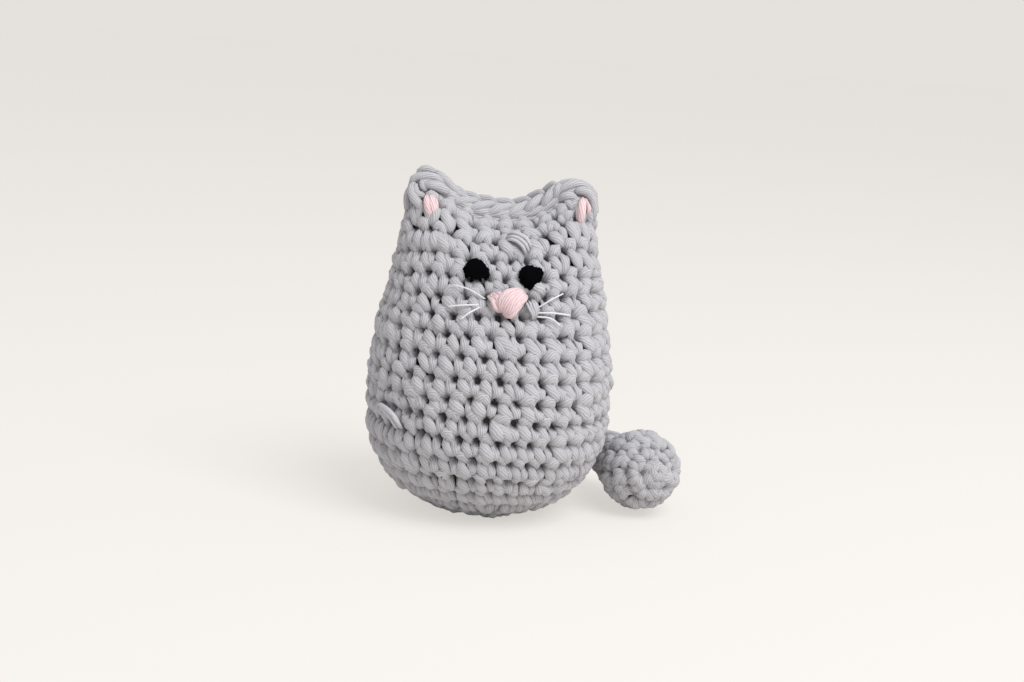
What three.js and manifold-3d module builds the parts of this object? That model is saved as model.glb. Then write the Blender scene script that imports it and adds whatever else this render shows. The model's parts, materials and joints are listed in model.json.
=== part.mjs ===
// A small crochet cat. Its body is a stuffed cover of single crochet, round at the base and closed
// flat at the top by a seam, whose two corners stand up as ears. Eyes, nose, inner ears and
// whiskers are sewn on, and a stuffed tail is sewn to the back of the right side.
// Millimetres, +Z up. The cat looks along -Y. The origin is the middle of the flat base.
import * as THREE from "three";
import { mergeVertices } from "three/addons/utils/BufferGeometryUtils.js";
import Module from "manifold-3d";

const wasm = await Module();
wasm.setup();

// Driving sizes of the body
const bodyWidth = 51.6;
const bodyDepth = 51.0;
const seamHeight = 62.9; // the cover's edge at the middle of the top seam
const fabric = 3.0; // thickness of the crochet fabric
const slitWidth = 1.2; // between the front and back edges, where the seam draws them together
const holeDepth = 1.5; // of the holes between stitches, from the outside of the fabric
const baseBulge = 0.5; // how far the base would bulge if it weren't pressed flat
const earRise = 5.7; // the ear's tip above the middle of the seam
const earReach = 15.7; // the ear's tip from the middle plane
const earFade = 15.0; // how far below the seam the rise dies out
const clearance = 0.35; // between pieces that touch on the real toy
const overrun = 2.0; // how far a cutting solid runs past what it cuts

// Driving sizes of the seam
const seamWidth = 5.6;
const seamThickness = 1.7;

// Driving sizes of the tail
const tailBulbRadius = 8.2;
const tailTubeRadius = 5.7;
const tailNeckRadius = 3.1;
const tailRootRadius = 3.7;
const tailFabric = 2.4;
const tailMouthRadius = 1.35; // the hole left where the tail is gathered to be sewn on
const tailRootHeight = 10.4;
const tailRootAngle = 48; // degrees from the cat's left side (+X) towards its back
const tailStandOff = 1.4; // the tail's pivot outside the cover
const tailFloorGap = 1.0;
const tailSideGap = 3.6; // between the bulb and the side of the body
const tailAheadShare = 0.05; // the bulb's middle ahead of the body's, as a share of its half depth
const knotRadius = 0.9;
const stitchRingYarn = 1.2; // thickness of the yarn sewn round the tail's root

// Driving sizes of the face
const eyeThickness = 1.1;
const noseThickness = 1.8;
const innerEarThickness = 1.2;
const whiskerThread = 0.5;
const darnedYarn = 1.5;

const halfWidth = bodyWidth / 2;
const halfDepth = bodyDepth / 2;
const topHalfDepth = fabric + slitWidth / 2;

// The outline of the body from the base up: shares of the seam's height, of the half width and of
// the half depth. The last ring is the cover's edge, as deep as two layers of fabric and the slit.
const profileShares = [
  [0.0, 0.4, 0.4],
  [0.041, 0.605, 0.605],
  [0.083, 0.755, 0.755],
  [0.153, 0.89, 0.89],
  [0.247, 0.978, 0.978],
  [0.35, 1.0, 1.0],
  [0.46, 0.999, 0.98],
  [0.585, 0.969, 0.902],
  [0.715, 0.905, 0.757],
  [0.825, 0.848, 0.592],
  [0.91, 0.803, 0.431],
  [0.955, 0.78, 0.325],
  [0.985, 0.764, 0.22],
];
const topWidthShare = 0.75;
const roundSection = 2.0; // exponent of the section's superellipse at the base
const flatSection = 2.8; // and at the seam, where the body is pressed flat
const flatteningStartShare = 0.7; // share of the seam's height where the section starts to flatten

const profileCurve = new THREE.CatmullRomCurve3(
  [
    new THREE.Vector3(0, 0, -baseBulge),
    ...profileShares.map(
      ([up, wide, deep]) => new THREE.Vector3(wide * halfWidth, deep * halfDepth, up * seamHeight),
    ),
    new THREE.Vector3(topWidthShare * halfWidth, topHalfDepth, seamHeight),
  ],
  false,
  "centripetal",
);
const profileSteps = 400;
profileCurve.arcLengthDivisions = profileSteps;

const smooth = (t) => {
  const s = THREE.MathUtils.clamp(t, 0, 1);
  return s * s * (3 - 2 * s);
};

// How far the ears lift the cover at a distance across from the middle, as a share of earRise:
// nothing in the middle, all of it at the ear's tip, and less at the outer corner.
const earSharpness = 1.6;
const cornerDropShare = 0.4;
function earShare(across) {
  const x = Math.abs(across);
  const corner = topWidthShare * halfWidth;
  if (x > earReach) {
    const past = (x - earReach) / (corner - earReach);
    return 1 - cornerDropShare * past * past;
  }
  return (1 - Math.cos(Math.PI * Math.pow(x / earReach, earSharpness))) / 2;
}

const liftAt = (height, across) =>
  earRise * smooth((height - seamHeight + earFade) / earFade) * earShare(across);

// One ring of the body at a share of the way from the pole of the base to the edge at the top.
// inset moves it inwards, as the inside of the cover lies inside the outside.
function ringAt(share, inset) {
  const p = profileCurve.getPointAt(share);
  const t = profileCurve.getTangentAt(share);
  const flat = smooth((p.z / seamHeight - flatteningStartShare) / (1 - flatteningStartShare));
  const down = Math.max(t.x, 0) / Math.hypot(t.x, t.z); // how far the surface faces down
  const sideways = Math.sqrt(1 - down * down);
  return {
    a: Math.max(p.x - inset * sideways, 0),
    b: Math.max(p.y - inset * sideways, 0),
    z: p.z + inset * down,
    power: roundSection + (flatSection - roundSection) * flat,
  };
}

function ringPoint(ring, angle) {
  const c = Math.cos(angle);
  const s = Math.sin(angle);
  const x = ring.a * Math.sign(c) * Math.pow(Math.abs(c), 2 / ring.power);
  const y = ring.b * Math.sign(s) * Math.pow(Math.abs(s), 2 / ring.power);
  return new THREE.Vector3(x, y, ring.z + liftAt(ring.z, x));
}

// Closed surface through rings of points. Each ring has the same number of points, counted round
// +Z, the first ring is drawn together to a pole, and the last is zipped shut from front to back.
function zippedSolid(pole, rings) {
  const count = rings[0].length;
  const points = [pole, ...rings.flat()];
  const at = (row, k) => 1 + row * count + (k % count);
  const faces = [];
  for (let k = 0; k < count; k++) {
    faces.push(0, at(0, k + 1), at(0, k));
    for (let row = 0; row + 1 < rings.length; row++) {
      faces.push(at(row, k), at(row, k + 1), at(row + 1, k + 1));
      faces.push(at(row, k), at(row + 1, k + 1), at(row + 1, k));
    }
  }
  zipShut((k) => at(rings.length - 1, k), count, faces);
  return geometryOf(points, faces);
}

// Faces that close a ring from front to back. at gives the index of its point k, counted round +Z
// from +X.
function zipShut(at, count, faces) {
  const half = count / 2;
  for (let k = 0; k < half; k++) {
    const [front, next] = [at(count - k), at(count - k - 1)];
    if (k > 0) faces.push(at(k), at(k + 1), front);
    if (k < half - 1) faces.push(front, at(k + 1), next);
  }
}

function geometryOf(points, faces) {
  const geometry = new THREE.BufferGeometry();
  geometry.setAttribute(
    "position",
    new THREE.Float32BufferAttribute(points.flatMap((p) => [p.x, p.y, p.z]), 3),
  );
  geometry.setIndex(faces);
  return geometry;
}

// Solids for cutting and joining, and back to a geometry.
function solidOf(geometry) {
  const bare = geometry.clone();
  bare.deleteAttribute("normal");
  bare.deleteAttribute("uv");
  const merged = mergeVertices(bare, 1e-4);
  return new wasm.Manifold(
    new wasm.Mesh({
      numProp: 3,
      vertProperties: new Float32Array(merged.attributes.position.array),
      triVerts: new Uint32Array(merged.index.array),
    }),
  );
}

function geometryFrom(solid) {
  const mesh = solid.getMesh();
  const positions = new Float32Array(mesh.numVert * 3);
  for (let v = 0; v < mesh.numVert; v++) {
    positions.set(mesh.vertProperties.subarray(v * mesh.numProp, v * mesh.numProp + 3), v * 3);
  }
  const geometry = new THREE.BufferGeometry();
  geometry.setAttribute("position", new THREE.BufferAttribute(positions, 3));
  geometry.setIndex(new THREE.BufferAttribute(mesh.triVerts, 1));
  return geometry;
}

// The body's form, inset by a distance, with ringTotal rings from the base to the edge, of which
// it has the first ringCount. raise continues its last ring upwards, so that a cavity cuts
// through the edge.
function bodyForm({ inset, ringTotal, ringCount = ringTotal, pointCount, raise = 0 }) {
  const rings = [];
  for (let row = 1; row <= ringCount; row++) {
    const ring = ringAt(row / ringTotal, inset);
    const points = [];
    for (let k = 0; k < pointCount; k++) {
      points.push(ringPoint(ring, (2 * Math.PI * k) / pointCount));
    }
    rings.push(points);
  }
  const kept = rings.filter((points) => points[0].x > 0 && points[pointCount / 4].y > 0);
  if (raise > 0) {
    kept.push(kept[kept.length - 1].map((p) => new THREE.Vector3(p.x, p.y, p.z + raise)));
  }
  return zippedSolid(new THREE.Vector3(0, 0, inset - baseBulge), kept);
}

// The relief of the stitches. Each round of single crochet leaves a row of holes, which the next
// round is worked into. The rounds are one spiral, clockwise as seen from above. A row has the way
// up the front at its left end, its middle and its right end, as shares of the front's length, and
// its holes, as shares of a turn from +X, where 0.75 is the middle of the front. The gap round the
// back is shared out evenly.
const firstRoundShares = { up: [0.167, 0.167, 0.167], stitches: 25 };
const frontRoundShares = [
  {
    up: [0.210, 0.224, 0.210],
    holes: [0.597, 0.628, 0.656, 0.686, 0.717, 0.747, 0.775, 0.803, 0.833, 0.861],
  },
  {
    up: [0.256, 0.271, 0.258],
    holes: [0.608, 0.636, 0.661, 0.689, 0.721, 0.747, 0.774, 0.800, 0.825, 0.853, 0.881],
  },
  {
    up: [0.304, 0.320, 0.297],
    holes: [0.581, 0.608, 0.639, 0.664, 0.692, 0.719, 0.744, 0.769, 0.792, 0.817, 0.844, 0.872],
  },
  {
    up: [0.361, 0.373, 0.350],
    holes: [0.572, 0.603, 0.636, 0.667, 0.694, 0.719, 0.747, 0.772, 0.794, 0.819, 0.847, 0.875],
  },
  {
    up: [0.425, 0.423, 0.405],
    holes: [0.561, 0.589, 0.617, 0.644, 0.672, 0.697, 0.722, 0.751, 0.772, 0.794, 0.822, 0.853, 0.886],
  },
  {
    up: [0.469, 0.474, 0.453],
    holes: [0.572, 0.597, 0.622, 0.644, 0.675, 0.706, 0.733, 0.771, 0.800, 0.828, 0.853, 0.883],
  },
  {
    up: [0.503, 0.520, 0.501],
    holes: [0.553, 0.583, 0.614, 0.647, 0.681, 0.711, 0.742, 0.772, 0.803, 0.833, 0.861, 0.897],
  },
  {
    up: [0.549, 0.569, 0.554],
    holes: [0.553, 0.583, 0.619, 0.653, 0.686, 0.717, 0.747, 0.775, 0.806, 0.836, 0.867, 0.900],
  },
  {
    up: [0.608, 0.620, 0.608],
    holes: [0.561, 0.589, 0.622, 0.656, 0.692, 0.725, 0.750, 0.778, 0.808, 0.839, 0.869, 0.903],
  },
  {
    up: [0.665, 0.672, 0.668],
    holes: [0.581, 0.622, 0.667, 0.700, 0.733, 0.775, 0.808, 0.842, 0.872, 0.911],
  },
  {
    up: [0.700, 0.720, 0.720],
    holes: [0.556, 0.594, 0.633, 0.675, 0.711, 0.744, 0.778, 0.811, 0.842, 0.872, 0.914],
  },
  {
    up: [0.749, 0.768, 0.769],
    holes: [0.564, 0.603, 0.642, 0.686, 0.722, 0.756, 0.789, 0.822, 0.853, 0.886, 0.922],
  },
  {
    up: [0.796, 0.814, 0.807],
    holes: [0.578, 0.617, 0.656, 0.692, 0.725, 0.753, 0.786, 0.822, 0.856, 0.894],
  },
  {
    up: [0.837, 0.864, 0.857],
    holes: [0.592, 0.622, 0.656, 0.692, 0.731, 0.764, 0.792, 0.828, 0.864, 0.894, 0.931],
  },
  {
    up: [0.878, 0.917, 0.926],
    holes: [0.606, 0.653, 0.700, 0.736, 0.783, 0.825, 0.867, 0.900],
  },
  {
    up: [0.944, 0.962, 0.956],
    holes: [0.611, 0.653, 0.694, 0.736, 0.775, 0.814, 0.853, 0.892],
  },
];

// A function that looks a value up between the points of a table of [from, to], in rising order.
function lookup(table) {
  return (value) => {
    const i = THREE.MathUtils.clamp(
      table.findIndex(([from]) => from >= value),
      1,
      table.length - 1,
    );
    const [[x0, y0], [x1, y1]] = [table[i - 1], table[i]];
    return y0 + ((y1 - y0) * (value - x0)) / (x1 - x0);
  };
}

// The way up the whole outline of a share of the way up the middle of the front.
const frontSamples = 200;
function frontLookup() {
  const places = [];
  for (let i = 0; i <= frontSamples; i++) {
    const { b, z } = ringAt(i / frontSamples, 0);
    places.push(new THREE.Vector2(b, z));
  }
  let run = 0;
  const runs = places.map((place, i) => (run += i > 0 ? place.distanceTo(places[i - 1]) : 0));
  return lookup(runs.map((length, i) => [length / run, i / frontSamples]));
}

// The point at a turn round a ring, where equal turns are equal lengths.
const turnSamples = 120;
function placeAtTurn(share, turn, inset) {
  const ring = ringAt(share, inset);
  const points = [];
  for (let k = 0; k <= turnSamples; k++) {
    points.push(ringPoint(ring, (2 * Math.PI * k) / turnSamples));
  }
  let run = 0;
  const runs = points.map((point, i) => (run += i > 0 ? point.distanceTo(points[i - 1]) : 0));
  const at = lookup(runs.map((length, i) => [length / run, i]))(turn - Math.floor(turn));
  const i = Math.min(Math.floor(at), turnSamples - 1);
  return points[i].clone().lerp(points[i + 1], at - i);
}

// The holes in the order they are made, with turns that fall by one a round.
function spiralOfHoles() {
  const frontWay = frontLookup();
  const { up, stitches } = firstRoundShares;
  const evenly = Array.from({ length: stitches }, (_, i) => (i + 1) / stitches);
  const spiral = [];
  let step = 0;
  [{ up, holes: evenly }, ...frontRoundShares].forEach((round, k) => {
    const [low, high] = [round.holes[0], round.holes[round.holes.length - 1]];
    const upAt = lookup(round.up.map((share, i) => [low + ((high - low) * i) / 2, share]));
    const here = round.holes.map((turn) => ({ turn: turn - k, way: frontWay(upAt(turn)) }));
    here.reverse();
    if (k > 0) {
      const last = spiral[spiral.length - 1];
      const count = Math.max(1, Math.round((last.turn - here[0].turn) / step));
      for (let i = 1; i < count; i++) spiral.push(between(last, here[0], i / count));
    }
    spiral.push(...here);
    step = (high - low) / (round.holes.length - 1);
  });
  return spiral;
}

const between = (a, b, share) => ({
  turn: a.turn + (b.turn - a.turn) * share,
  way: a.way + (b.way - a.way) * share,
});

// Places of one round of a spiral, with their turns counted from its start.
const roundOf = (spiral, k) =>
  spiral
    .filter(({ turn }) => turn > -k && turn <= 1 - k)
    .map((place) => ({ ...place, turn: place.turn + k }));

// The outside of the cover with its relief: smooth rings on the base, then a ring of holes and of
// the yarn between them for each round, with a ring of yarn between two rounds, and the edge.
function reliefForm({ ringTotal, pointCount }) {
  const holes = spiralOfHoles();
  const yarn = holes.slice(1).map((hole, i) => between(holes[i], hole, 1 / 2));
  const line = [...holes.map((hole) => ({ ...hole, inset: holeDepth })), ...yarn].sort(
    (a, b) => b.turn - a.turn,
  );
  const wayAt = lookup([...holes].reverse().map(({ turn, way }) => [turn, way]));
  const roundCount = frontRoundShares.length - 1;
  const rings = [];
  const evenRing = (way) =>
    Array.from({ length: pointCount }, (_, k) => ({ turn: 1 - k / pointCount, way }));
  for (let row = 1; row / ringTotal < holes[0].way - 1 / ringTotal / 2; row++) {
    rings.push(evenRing(row / ringTotal));
  }
  for (let k = 0; k <= roundCount; k++) {
    rings.push(roundOf(line, k));
    if (k === roundCount) break;
    const above = roundOf(holes, k + 1);
    rings.push(
      above.map(({ turn, way }) => ({ turn, way: (way + wayAt(turn - k)) / 2 })),
    );
  }
  rings.push(evenRing(1));

  const points = [new THREE.Vector3(0, 0, -baseBulge)];
  const firsts = rings.map((ring) => {
    const first = points.length;
    points.push(...ring.map(({ turn, way, inset = 0 }) => placeAtTurn(way, turn, inset)));
    return first;
  });
  const faces = [];
  for (let k = 0; k < pointCount; k++) faces.push(0, 1 + k, 1 + ((k + 1) % pointCount));
  for (let row = 0; row + 1 < rings.length; row++) {
    zipRings(rings[row], firsts[row], rings[row + 1], firsts[row + 1], faces);
  }
  const top = firsts[firsts.length - 1];
  zipShut((k) => top + ((pointCount - (k % pointCount)) % pointCount), pointCount, faces);
  return geometryOf(points, faces);
}

// Faces between two rings whose turns fall, each step to the next point along either ring.
function zipRings(lower, lowerFirst, upper, upperFirst, faces) {
  const low = (i) => lowerFirst + (i % lower.length);
  const high = (j) => upperFirst + (j % upper.length);
  const turnOf = (ring, i) => (i < ring.length ? ring[i].turn : ring[0].turn - 1);
  let [i, j] = [0, 0];
  while (i < lower.length || j < upper.length) {
    const lowerNext = turnOf(lower, i + 1) >= turnOf(upper, j + 1);
    if (j === upper.length || (i < lower.length && lowerNext)) {
      faces.push(low(i), high(j), low(i + 1));
      i += 1;
    } else {
      faces.push(low(i), high(j), high(j + 1));
      j += 1;
    }
  }
}

// A slab under the floor, which presses the base flat.
function floorSlab() {
  const slab = new THREE.BoxGeometry(2 * bodyWidth, 2 * bodyDepth, overrun);
  slab.translate(0, 0, -overrun / 2);
  return solidOf(slab);
}

// A point on the front of the body at a place across and up, and the outward normal there,
// found by halving the way up the outline until the ring passes through the place.
const frontSteps = 40;
function frontDepth(across, up) {
  let low = 0;
  let high = 1;
  for (let i = 0; i < frontSteps; i++) {
    const mid = (low + high) / 2;
    const ring = ringAt(mid, 0);
    if (ring.z + liftAt(ring.z, across) < up) low = mid;
    else high = mid;
  }
  const ring = ringAt(low, 0);
  const share = Math.min(Math.abs(across) / ring.a, 1);
  return -ring.b * Math.pow(1 - Math.pow(share, ring.power), 1 / ring.power);
}

const slopeStepShare = 0.01; // share of the fabric's thickness that a slope is measured over
function frontPoint(across, up, proud) {
  const step = slopeStepShare * fabric;
  const here = frontDepth(across, up);
  const slopeAcross = (frontDepth(across + step, up) - here) / step;
  const slopeUp = (frontDepth(across, up + step) - here) / step;
  const normal = new THREE.Vector3(slopeAcross, -1, slopeUp).normalize();
  return new THREE.Vector3(across, here, up).addScaledVector(normal, proud);
}

// A sewn patch: a low crowned pad that follows the front of the body inside an outline.
// The outline's points are shares of the patch's half width and half height, counter-clockwise
// as seen from the front.
const padShoulderShare = 0.62; // height of the pad's edge, as a share of its thickness
const padCrownShare = 0.6; // size of the pad's crown, as a share of its outline
function patch({ placeShares, width, height, thickness, outlineShares }) {
  const [across, up] = placeAt(placeShares);
  const place = (share, proud) =>
    outlineShares.map(([x, z]) =>
      frontPoint(
        across + (share * x * width) / 2,
        up + (share * z * height) / 2,
        clearance + proud,
      ),
    );
  const rings = [
    place(padCrownShare, 0),
    place(1, 0),
    place(1, padShoulderShare * thickness),
    place(padCrownShare, thickness),
  ];
  const back = frontPoint(across, up, clearance);
  const front = frontPoint(across, up, clearance + thickness);
  return cappedRings(back, rings, front);
}

// Closed surface through rings of points, drawn together to a pole at each end. Seen from beyond
// the last pole, the points of each ring go round counter-clockwise.
function cappedRings(start, rings, end) {
  const count = rings[0].length;
  const points = [start, ...rings.flat(), end];
  const last = points.length - 1;
  const at = (row, k) => 1 + row * count + (k % count);
  const faces = [];
  for (let k = 0; k < count; k++) {
    faces.push(0, at(0, k + 1), at(0, k));
    for (let row = 0; row + 1 < rings.length; row++) {
      faces.push(at(row, k), at(row, k + 1), at(row + 1, k + 1));
      faces.push(at(row, k), at(row + 1, k + 1), at(row + 1, k));
    }
    faces.push(at(rings.length - 1, k), at(rings.length - 1, k + 1), last);
  }
  return geometryOf(points, faces);
}

// A ring of points round a centre, from one direction towards another at right angles to it.
function circleOf(centre, side, rise, radius, count) {
  const ring = [];
  for (let k = 0; k < count; k++) {
    const angle = (2 * Math.PI * k) / count;
    ring.push(
      centre
        .clone()
        .addScaledVector(side, radius * Math.cos(angle))
        .addScaledVector(rise, radius * Math.sin(angle)),
    );
  }
  return ring;
}

// A tube through rings of points that follow each other in a closed loop.
function closedTube(rings) {
  const count = rings[0].length;
  const at = (row, k) => (row % rings.length) * count + (k % count);
  const faces = [];
  for (let row = 0; row < rings.length; row++) {
    for (let k = 0; k < count; k++) {
      faces.push(at(row, k), at(row, k + 1), at(row + 1, k + 1));
      faces.push(at(row, k), at(row + 1, k + 1), at(row + 1, k));
    }
  }
  return geometryOf(rings.flat(), faces);
}

// A tube whose radius changes along a curve, closed at both ends. lead lengthens it at its start.
function taperedTube(curve, stations, radiusAt, sides, lead = 0) {
  const frames = stations.map((share) => {
    const tangent = curve.getTangentAt(share);
    const side = new THREE.Vector3().crossVectors(new THREE.Vector3(0, 0, 1), tangent).normalize();
    return { centre: curve.getPointAt(share), side, rise: side.clone().cross(tangent).negate() };
  });
  const rings = frames
    .slice(1, -1)
    .map(({ centre, side, rise }, i) =>
      circleOf(centre, side, rise, radiusAt(stations[i + 1]), sides),
    );
  if (lead > 0) {
    const { centre, side, rise } = frames[0];
    centre.addScaledVector(curve.getTangentAt(stations[0]), -lead);
    rings.unshift(circleOf(centre, side, rise, radiusAt(stations[0]), sides));
  }
  return cappedRings(frames[0].centre, rings, frames[frames.length - 1].centre);
}

// Places along a tube's length, closer together towards its round ends.
function stationsFor(count) {
  const stations = [];
  for (let i = 0; i <= count; i++) stations.push((1 - Math.cos((Math.PI * i) / count)) / 2);
  return stations;
}

// A thread of one thickness that lies on the front of the body through places given as shares.
const threadSides = 6;
const threadSteps = 6;
const endInsetShare = 0.03; // share of a thread's length that its pointed ends take
function surfaceThread(shares, thickness) {
  const curve = new THREE.CatmullRomCurve3(
    shares.map((share) => frontPoint(...placeAt(share), clearance + thickness / 2)),
  );
  const stations = [0];
  for (let i = 0; i <= threadSteps; i++) {
    stations.push(endInsetShare + ((1 - 2 * endInsetShare) * i) / threadSteps);
  }
  stations.push(1);
  return taperedTube(curve, stations, () => thickness / 2, threadSides);
}

// Materials
const yarnGrey = new THREE.MeshStandardMaterial({ color: 0xb4b3b6, roughness: 0.9, metalness: 0 });
const fibreWhite = new THREE.MeshStandardMaterial({ color: 0xf2f1ec, roughness: 1, metalness: 0 });
const flossBlack = new THREE.MeshStandardMaterial({ color: 0x0b0b0d, roughness: 0.85, metalness: 0 });
const flossPink = new THREE.MeshStandardMaterial({ color: 0xf0cfd2, roughness: 0.8, metalness: 0 });
const threadWhite = new THREE.MeshStandardMaterial({ color: 0xf4f5f7, roughness: 0.6, metalness: 0 });

const cat = new THREE.Group();
function add(parent, name, geometry, material) {
  const mesh = new THREE.Mesh(geometry, material);
  mesh.name = name;
  parent.add(mesh);
  return mesh;
}

// The tail's root on the body: the place on the cover that faces tailRootAngle at tailRootHeight.
const rootAngle = THREE.MathUtils.degToRad(tailRootAngle);
function shareAtHeight(height) {
  let low = 0;
  let high = 1;
  for (let i = 0; i < frontSteps; i++) {
    const mid = (low + high) / 2;
    if (ringAt(mid, 0).z < height) low = mid;
    else high = mid;
  }
  return low;
}
function ringRadius({ a, b }, angle) {
  return 1 / Math.hypot(Math.cos(angle) / a, Math.sin(angle) / b);
}
const coverRadiusAt = (height, angle) => ringRadius(ringAt(shareAtHeight(height), 0), angle);
const rootRadius = coverRadiusAt(tailRootHeight, rootAngle);
const rootOut = new THREE.Vector3(Math.cos(rootAngle), Math.sin(rootAngle), 0);
const tailPivot = rootOut
  .clone()
  .multiplyScalar(rootRadius + tailStandOff)
  .setZ(tailRootHeight);

// The cover, hollow for the stuffing, open along the slit at the top, with a seat for the tail
// and a groove round it for the yarn that sews the tail on.
const seatRadius = tailRootRadius + clearance;
const stitchRingRadius = seatRadius + stitchRingYarn / 2 + clearance;
const coverSegments = 16;
function tailSeat() {
  const seat = new THREE.SphereGeometry(seatRadius, coverSegments, coverSegments / 2);
  seat.translate(tailPivot.x, tailPivot.y, tailPivot.z);
  return solidOf(seat);
}
const profileLength = profileCurve.getLength();
const rootShare = shareAtHeight(tailRootHeight);
const stitchRingSteps = 28;
const stitchRingSides = 8;
function stitchRing(extra) {
  const places = [];
  for (let i = 0; i < stitchRingSteps; i++) {
    const turn = (2 * Math.PI * i) / stitchRingSteps;
    const ring = ringAt(rootShare + (stitchRingRadius * Math.sin(turn)) / profileLength, 0);
    const angle = rootAngle + (stitchRingRadius * Math.cos(turn)) / rootRadius;
    const radius = ringRadius(ring, angle);
    places.push(new THREE.Vector3(radius * Math.cos(angle), radius * Math.sin(angle), ring.z));
  }
  const middle = places
    .reduce((sum, p) => sum.add(p), new THREE.Vector3())
    .multiplyScalar(1 / stitchRingSteps);
  const rings = places.map((place, i) => {
    const before = places[(i + stitchRingSteps - 1) % stitchRingSteps];
    const after = places[(i + 1) % stitchRingSteps];
    const along = after.clone().sub(before).normalize();
    const away = place.clone().sub(middle);
    away.addScaledVector(along, -away.dot(along)).normalize();
    return circleOf(place, away, along.cross(away), stitchRingYarn / 2 + extra, stitchRingSides);
  });
  return closedTube(rings);
}

const outsideMesh = { ringTotal: 24, pointCount: 40 };
const insideMesh = { ringTotal: 18, pointCount: 32 };
const coverOutside = solidOf(reliefForm(outsideMesh));
const coverInside = solidOf(
  bodyForm({ inset: fabric, ...insideMesh, raise: earRise + overrun }),
);
const cover = coverOutside
  .subtract(coverInside)
  .subtract(floorSlab())
  .subtract(tailSeat())
  .subtract(solidOf(stitchRing(clearance)));
add(cat, "body_cover", geometryFrom(cover), yarnGrey);

// The stuffing fills the cover up to where the front and back come together.
const stuffingRings = insideMesh.ringTotal - 2;
add(
  cat,
  "body_stuffing",
  bodyForm({ inset: fabric + clearance, ...insideMesh, ringCount: stuffingRings }),
  fibreWhite,
);

// The seam: a flat braid of slip stitches along the cover's edge, over both ears.
const seamEndShare = 0.91; // how far out the seam runs, as a share of the edge's half width
const seamStations = 44;
const seamSides = 8;
function edgeHeight(across) {
  return seamHeight + liftAt(seamHeight, across);
}
function seamBraid() {
  const end = seamEndShare * topWidthShare * halfWidth;
  const step = slopeStepShare * fabric;
  const rings = [];
  for (let i = 0; i <= seamStations; i++) {
    const across = -end + (2 * end * i) / seamStations;
    const slope = (edgeHeight(across + step) - edgeHeight(across - step)) / (2 * step);
    const outward = new THREE.Vector3(-slope, 0, 1).normalize();
    const centre = new THREE.Vector3(across, 0, edgeHeight(across)).addScaledVector(
      outward,
      clearance + seamThickness / 2,
    );
    const narrowing = Math.sqrt(1 - Math.pow(across / end, 2) * seamTaperShare);
    const ring = [];
    for (let k = 0; k < seamSides; k++) {
      const angle = (2 * Math.PI * (k + 1 / 2)) / seamSides;
      ring.push(
        centre
          .clone()
          .addScaledVector(outward, (seamThickness / 2) * Math.sin(angle) * seamSquareness)
          .add(new THREE.Vector3(0, (seamWidth / 2) * Math.cos(angle) * narrowing, 0)),
      );
    }
    rings.push(ring);
  }
  const middle = (ring) =>
    ring.reduce((sum, p) => sum.add(p), new THREE.Vector3()).multiplyScalar(1 / ring.length);
  return cappedRings(middle(rings[0]), rings, middle(rings[rings.length - 1]));
}
const seamTaperShare = 0.75; // how much of its width the braid loses at its ends
const seamSquareness = 1 / Math.sin((3 * Math.PI) / seamSides); // flattens the braid's top and bottom
add(cat, "top_seam", seamBraid(), yarnGrey);

// A place on the front of the body, given as shares of its half width and of the seam's height.
const placeAt = ([acrossShare, upShare]) => [acrossShare * halfWidth, upShare * seamHeight];

// The eyes: black satin stitches, the left one lying down and the right one a fan.
const leftEye = { placeShares: [-0.221, 0.838], width: 5.2, height: 3.8 };
const rightEye = { placeShares: [0.209, 0.827], width: 5.1, height: 4.3 };
const leftEyeShares = [
  [-1, 0.05],
  [-0.81, -0.53],
  [-0.58, -0.79],
  [-0.12, -0.95],
  [0.35, -1],
  [0.85, -0.74],
  [1, -0.4],
  [1, 0.1],
  [0.77, 0.58],
  [0.35, 1],
  [-0.08, 0.95],
  [-0.54, 0.79],
];
const rightEyeShares = [
  [-1, 0.16],
  [-0.8, -0.36],
  [-0.41, -0.77],
  [-0.02, -1],
  [0.34, -0.76],
  [0.66, -0.36],
  [1, 0.35],
  [0.76, 0.77],
  [-0.06, 1],
  [-0.76, 0.72],
];
add(
  cat,
  "left_eye",
  patch({ ...leftEye, thickness: eyeThickness, outlineShares: leftEyeShares }),
  flossBlack,
);
add(
  cat,
  "right_eye",
  patch({ ...rightEye, thickness: eyeThickness, outlineShares: rightEyeShares }),
  flossBlack,
);

// The nose: pink satin stitches, wide at the top and drawn together at the bottom.
const nose = { placeShares: [0.016, 0.748], width: 7.4, height: 5.9 };
const noseShares = [
  [-1, 0.53],
  [-0.68, -0.12],
  [-0.35, -0.66],
  [-0.12, -0.95],
  [0.19, -1],
  [0.62, -0.42],
  [0.95, 0.22],
  [1, 0.66],
  [0.46, 1],
  [-0.08, 0.8],
  [-0.57, 0.69],
];
add(
  cat,
  "nose",
  patch({ ...nose, thickness: noseThickness, outlineShares: noseShares }),
  flossPink,
);

// The inner ears: two upright pink stitches in the hollow of each ear.
const leftInnerEar = { placeShares: [-0.581, 1.014], width: 2.6, height: 4.0 };
const rightInnerEar = { placeShares: [0.618, 1.029], width: 2.8, height: 4.6 };
const innerEarShares = [
  [-1, 0],
  [-0.7, -0.75],
  [0, -1],
  [0.7, -0.75],
  [1, 0],
  [0.7, 0.75],
  [0, 1],
  [-0.7, 0.75],
];
for (const [name, place] of [
  ["left_inner_ear", leftInnerEar],
  ["right_inner_ear", rightInnerEar],
]) {
  add(
    cat,
    name,
    patch({ ...place, thickness: innerEarThickness, outlineShares: innerEarShares }),
    flossPink,
  );
}

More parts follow.
